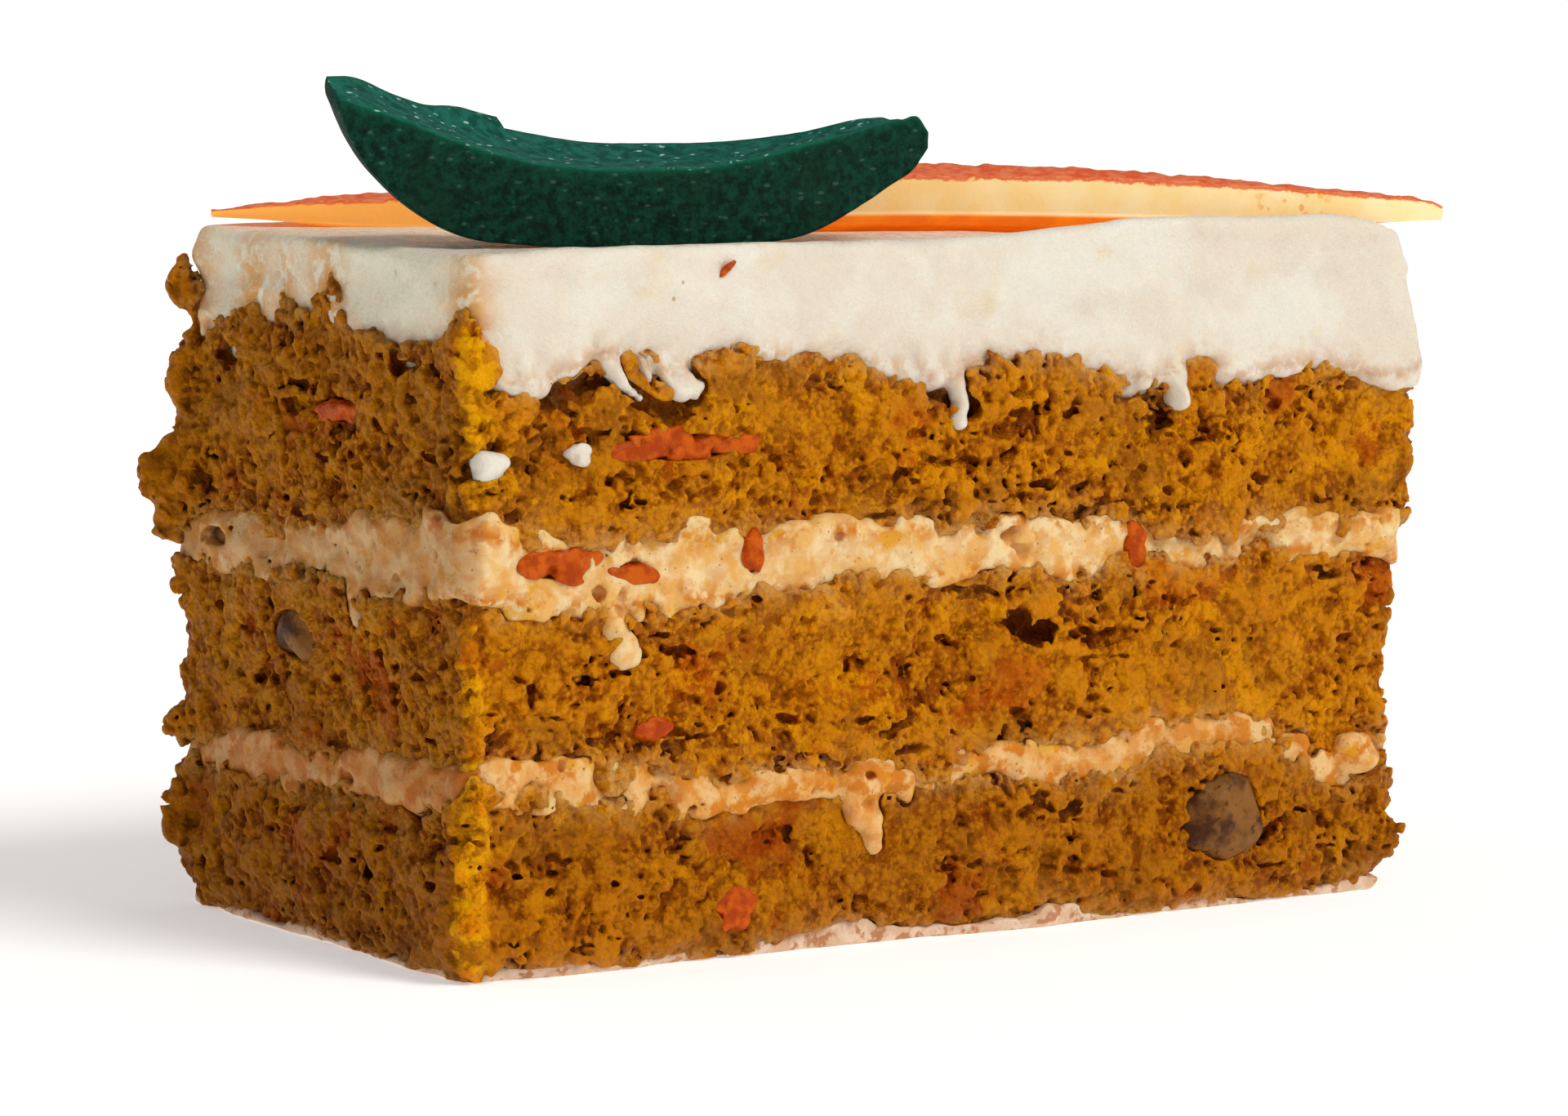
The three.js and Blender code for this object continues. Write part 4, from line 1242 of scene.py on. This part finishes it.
@cache
def carrot_material():
    n = Nodes("carrot")
    n.colour = n.mix(n.spread(n.noise(1.3, 3), 0.38, 0.64), (172, 62, 0), (208, 94, 4))
    pale = n.spread(n.noise(0.5, 2), 0.62, 0.74, 0, 0.3)
    n.tint(pale, (224, 126, 36))
    n.paint()
    n.set(Roughness=0.3, Specular_IOR_Level=0.12)
    n.soft(0.3, 1.0, (1.0, 0.45, 0.1))
    n.bump(n.noise(0.35, 3), 0.12)
    return n.material


@cache
def walnut_material():
    n = Nodes("walnut")
    n.colour = n.mix(n.spread(n.noise(4.2, 4, 0.6), 0.4, 0.6), (70, 36, 8), (140, 92, 38))
    skin = n.spread(n.noise(1.0, 3), 0.56, 0.68, 0, 0.7)
    n.tint(skin, (52, 24, 10))
    n.paint()
    n.set(Roughness=0.42, Specular_IOR_Level=0.12)
    n.soft(0.35, 1.2, (1.0, 0.6, 0.35))
    n.bump(n.noise(0.5, 4), 0.14)
    return n.material


@cache
def plaque_material():
    n = Nodes("orange_chocolate")
    through_it = n.attribute("through")
    rim = n.attribute("rim")
    along = n.separate("X")
    level = n.maths("ADD", through_it, n.spread(n.noise(1.0, 4), 0.3, 0.7, -0.05, 0.05))
    pale = n.mix(n.spread(n.noise(4, 3), 0.4, 0.62), (255, 220, 152), (255, 228, 174))
    warm = n.spread(along, -0.022, 0.006, 0.85, 0.0)
    golden = n.spread(along, 0.0, 0.022, 0.4, 0.0)
    pale = n.mix(golden, pale, (250, 186, 96))
    pale = n.mix(warm, pale, (255, 168, 66))
    spots = n.times(n.spread(n.noise(1.1, 1), 0.60, 0.68, 0, 0.7), n.spread(along, 0.034, 0.037))
    pale = n.mix(n.times(spots, n.spread(along, 0.041, 0.044, 1, 0)), pale, (232, 160, 50))
    under = n.mix(n.spread(n.noise(3, 2), 0.4, 0.6), (240, 122, 0), (230, 108, 0))
    under = n.mix(warm, under, (255, 160, 60))
    coat = n.mix(n.spread(n.noise(1.0, 4), 0.4, 0.62), (238, 92, 34), (246, 132, 82))
    n.colour = n.mix(n.maths("SUBTRACT", 1.0, rim), pale, under)
    n.colour = n.mix(n.spread(level, 0.84, 0.92), n.colour, coat)
    n.paint()
    n.set(Roughness=0.45, Specular_IOR_Level=0.25)
    n.soft(0.3, 2.0, (1.0, 0.6, 0.25))
    # Painted light: the belly and the cut rim glow, standing in for light through the thin chocolate; the
    # left part of the rim glows more.
    belly = n.times(n.maths("SUBTRACT", 1.0, rim), n.spread(level, 0.3, 0.5, BELLY_GLOW, 0.0))
    cut = n.maths("ADD", n.spread(level, 0.84, 0.92, RIM_GLOW, 0.0), n.times(warm, 0.16))
    cut = n.times(rim, cut)
    n.set(Emission_Color=n.colour, Emission_Strength=n.maths("ADD", belly, cut))
    n.bump(n.noise(0.6, 3), 0.05)
    return n.material


@cache
def leaf_material():
    n = Nodes("green_chocolate")
    upper = n.attribute("upper")
    edge = n.attribute("edge")
    face = n.mix(n.spread(n.noise(0.8, 5, 0.7), 0.36, 0.66), (0, 30, 22), (12, 66, 50))
    face = n.mix(n.spread(n.noise(9, 2), 0.5, 0.7, 0, 0.35), face, (16, 44, 26))
    top = n.mix(n.spread(n.noise(1.1, 4), 0.36, 0.64), (6, 76, 64), (28, 110, 94))
    n.colour = n.mix(upper, face, top)
    # painted highlight along the leaf's crisp edges
    n.tint(n.times(edge, 0.7), (12, 104, 74))
    # White specks, most on the upper face: partly sugar on the chocolate, partly painted glints.
    flakes_and_glints = n.spread(n.stretched_cells(0.9), 0.14, 0.24, 0.9, 0)
    specks_and_glints = n.times(flakes_and_glints, n.spread(upper, 0, 1, 0.08, 1))
    specks_and_glints = n.times(specks_and_glints, n.spread(n.noise(1.6, 2), 0.44, 0.54))
    n.tint(specks_and_glints, (176, 214, 204))
    n.paint()
    n.set(Roughness=0.55, Specular_IOR_Level=0.08)
    n.soft(0.1, 0.8, (0.4, 1.0, 0.7))
    n.bump(n.noise(0.35, 4, 0.7), 0.16)
    return n.material


# ---------------------------------------------------------------- studio
CAMERA_AZIMUTH = math.radians(-34.912)
CAMERA_ELEVATION = math.radians(6.626)
CAMERA_ROLL = math.radians(1.069)
CAMERA_TARGET = Vector((-2.37, 0, 30.653)) * MM
CAMERA_DISTANCE = 560 * MM
CAMERA_LENS = 144.2
FLOOR_GLOW = 0.38       # lifts the floor to the white of the backdrop


def add_camera():
    """The photograph's viewing angle: towards the corner that the two cut faces share."""
    cos_e = math.cos(CAMERA_ELEVATION)
    away = Vector((math.sin(CAMERA_AZIMUTH) * cos_e, -math.cos(CAMERA_AZIMUTH) * cos_e,
                   math.sin(CAMERA_ELEVATION)))
    level_right = (-away).cross(Vector((0, 0, 1))).normalized()
    level_up = level_right.cross(-away)
    right = math.cos(CAMERA_ROLL) * level_right + math.sin(CAMERA_ROLL) * level_up
    up = away.cross(right)
    data = bpy.data.cameras.new("camera")
    data.lens = CAMERA_LENS
    data.sensor_width = 36
    data.clip_start = 0.01
    camera = bpy.data.objects.new("camera", data)
    place = CAMERA_TARGET + away * CAMERA_DISTANCE
    camera.matrix_world = Matrix((right, up, away)).transposed().to_4x4()
    camera.matrix_world.translation = place
    bpy.context.scene.collection.objects.link(camera)
    bpy.context.scene.camera = camera


def add_floor():
    bpy.ops.mesh.primitive_plane_add(size=8, location=(0, 0, 0))
    floor = bpy.context.object
    floor.name = "studio_floor"
    n = Nodes("studio_floor")
    n.set(Base_Color=(0.92, 0.92, 0.92, 1.0), Roughness=0.9, Specular_IOR_Level=0.0,
          Emission_Color=(1.0, 1.0, 1.0, 1.0), Emission_Strength=FLOOR_GLOW)
    floor.data.materials.append(n.material)


def add_sun(name, direction, strength, angle, colour):
    """A far light that shines from a direction."""
    data = bpy.data.lights.new(name, "SUN")
    data.energy = strength
    data.angle = math.radians(angle)
    data.color = colour
    light = bpy.data.objects.new(name, data)
    light.rotation_euler = Vector(direction).to_track_quat("Z", "Y").to_euler()
    bpy.context.scene.collection.objects.link(light)


def add_surround(strength):
    """An even white room that lights the slice and shows white behind it."""
    world = bpy.data.worlds.new("studio")
    world.use_nodes = True
    tree = world.node_tree
    background = tree.nodes["Background"]
    background.inputs["Color"].default_value = (1.0, 0.985, 0.96, 1)
    background.inputs["Strength"].default_value = strength
    shown = tree.nodes.new("ShaderNodeBackground")
    shown.inputs["Color"].default_value = (1, 1, 1, 1)
    shown.inputs["Strength"].default_value = 1.0
    path = tree.nodes.new("ShaderNodeLightPath")
    mix = tree.nodes.new("ShaderNodeMixShader")
    tree.links.new(path.outputs["Is Camera Ray"], mix.inputs["Fac"])
    tree.links.new(background.outputs["Background"], mix.inputs[1])
    tree.links.new(shown.outputs["Background"], mix.inputs[2])
    tree.links.new(mix.outputs["Shader"], tree.nodes["World Output"].inputs["Surface"])
    bpy.context.scene.world = world


def add_studio():
    add_camera()
    add_floor()
    add_surround(0.34)
    add_sun("key", (0.28, -0.62, 0.75), 1.75, 24, (1.0, 0.97, 0.93))
    bpy.context.scene.view_settings.view_transform = "Standard"


# ---------------------------------------------------------------- the cake
add_studio()
base_film("base_film", "base_cream_film", 10)
sponge("sponge_bottom_crumb", "sponge_bottom", "film_top", "lower_bottom", 20)
filling("filling_lower_cream", "filling_lower", "lower_bottom", "lower_top", 40)
sponge("sponge_middle_crumb", "sponge_middle", "lower_top", "upper_bottom", 60)
filling("filling_upper_cream", "filling_upper", "upper_bottom", "upper_top", 80)
sponge("sponge_top_crumb", "sponge_top", "upper_top", "frosting_bottom", 200)
frosting("frosting_cream", "frosting_top", 240)
for inclusion_node in INCLUSIONS:
    inclusion(inclusion_node)
orange_plaque()
green_leaf()
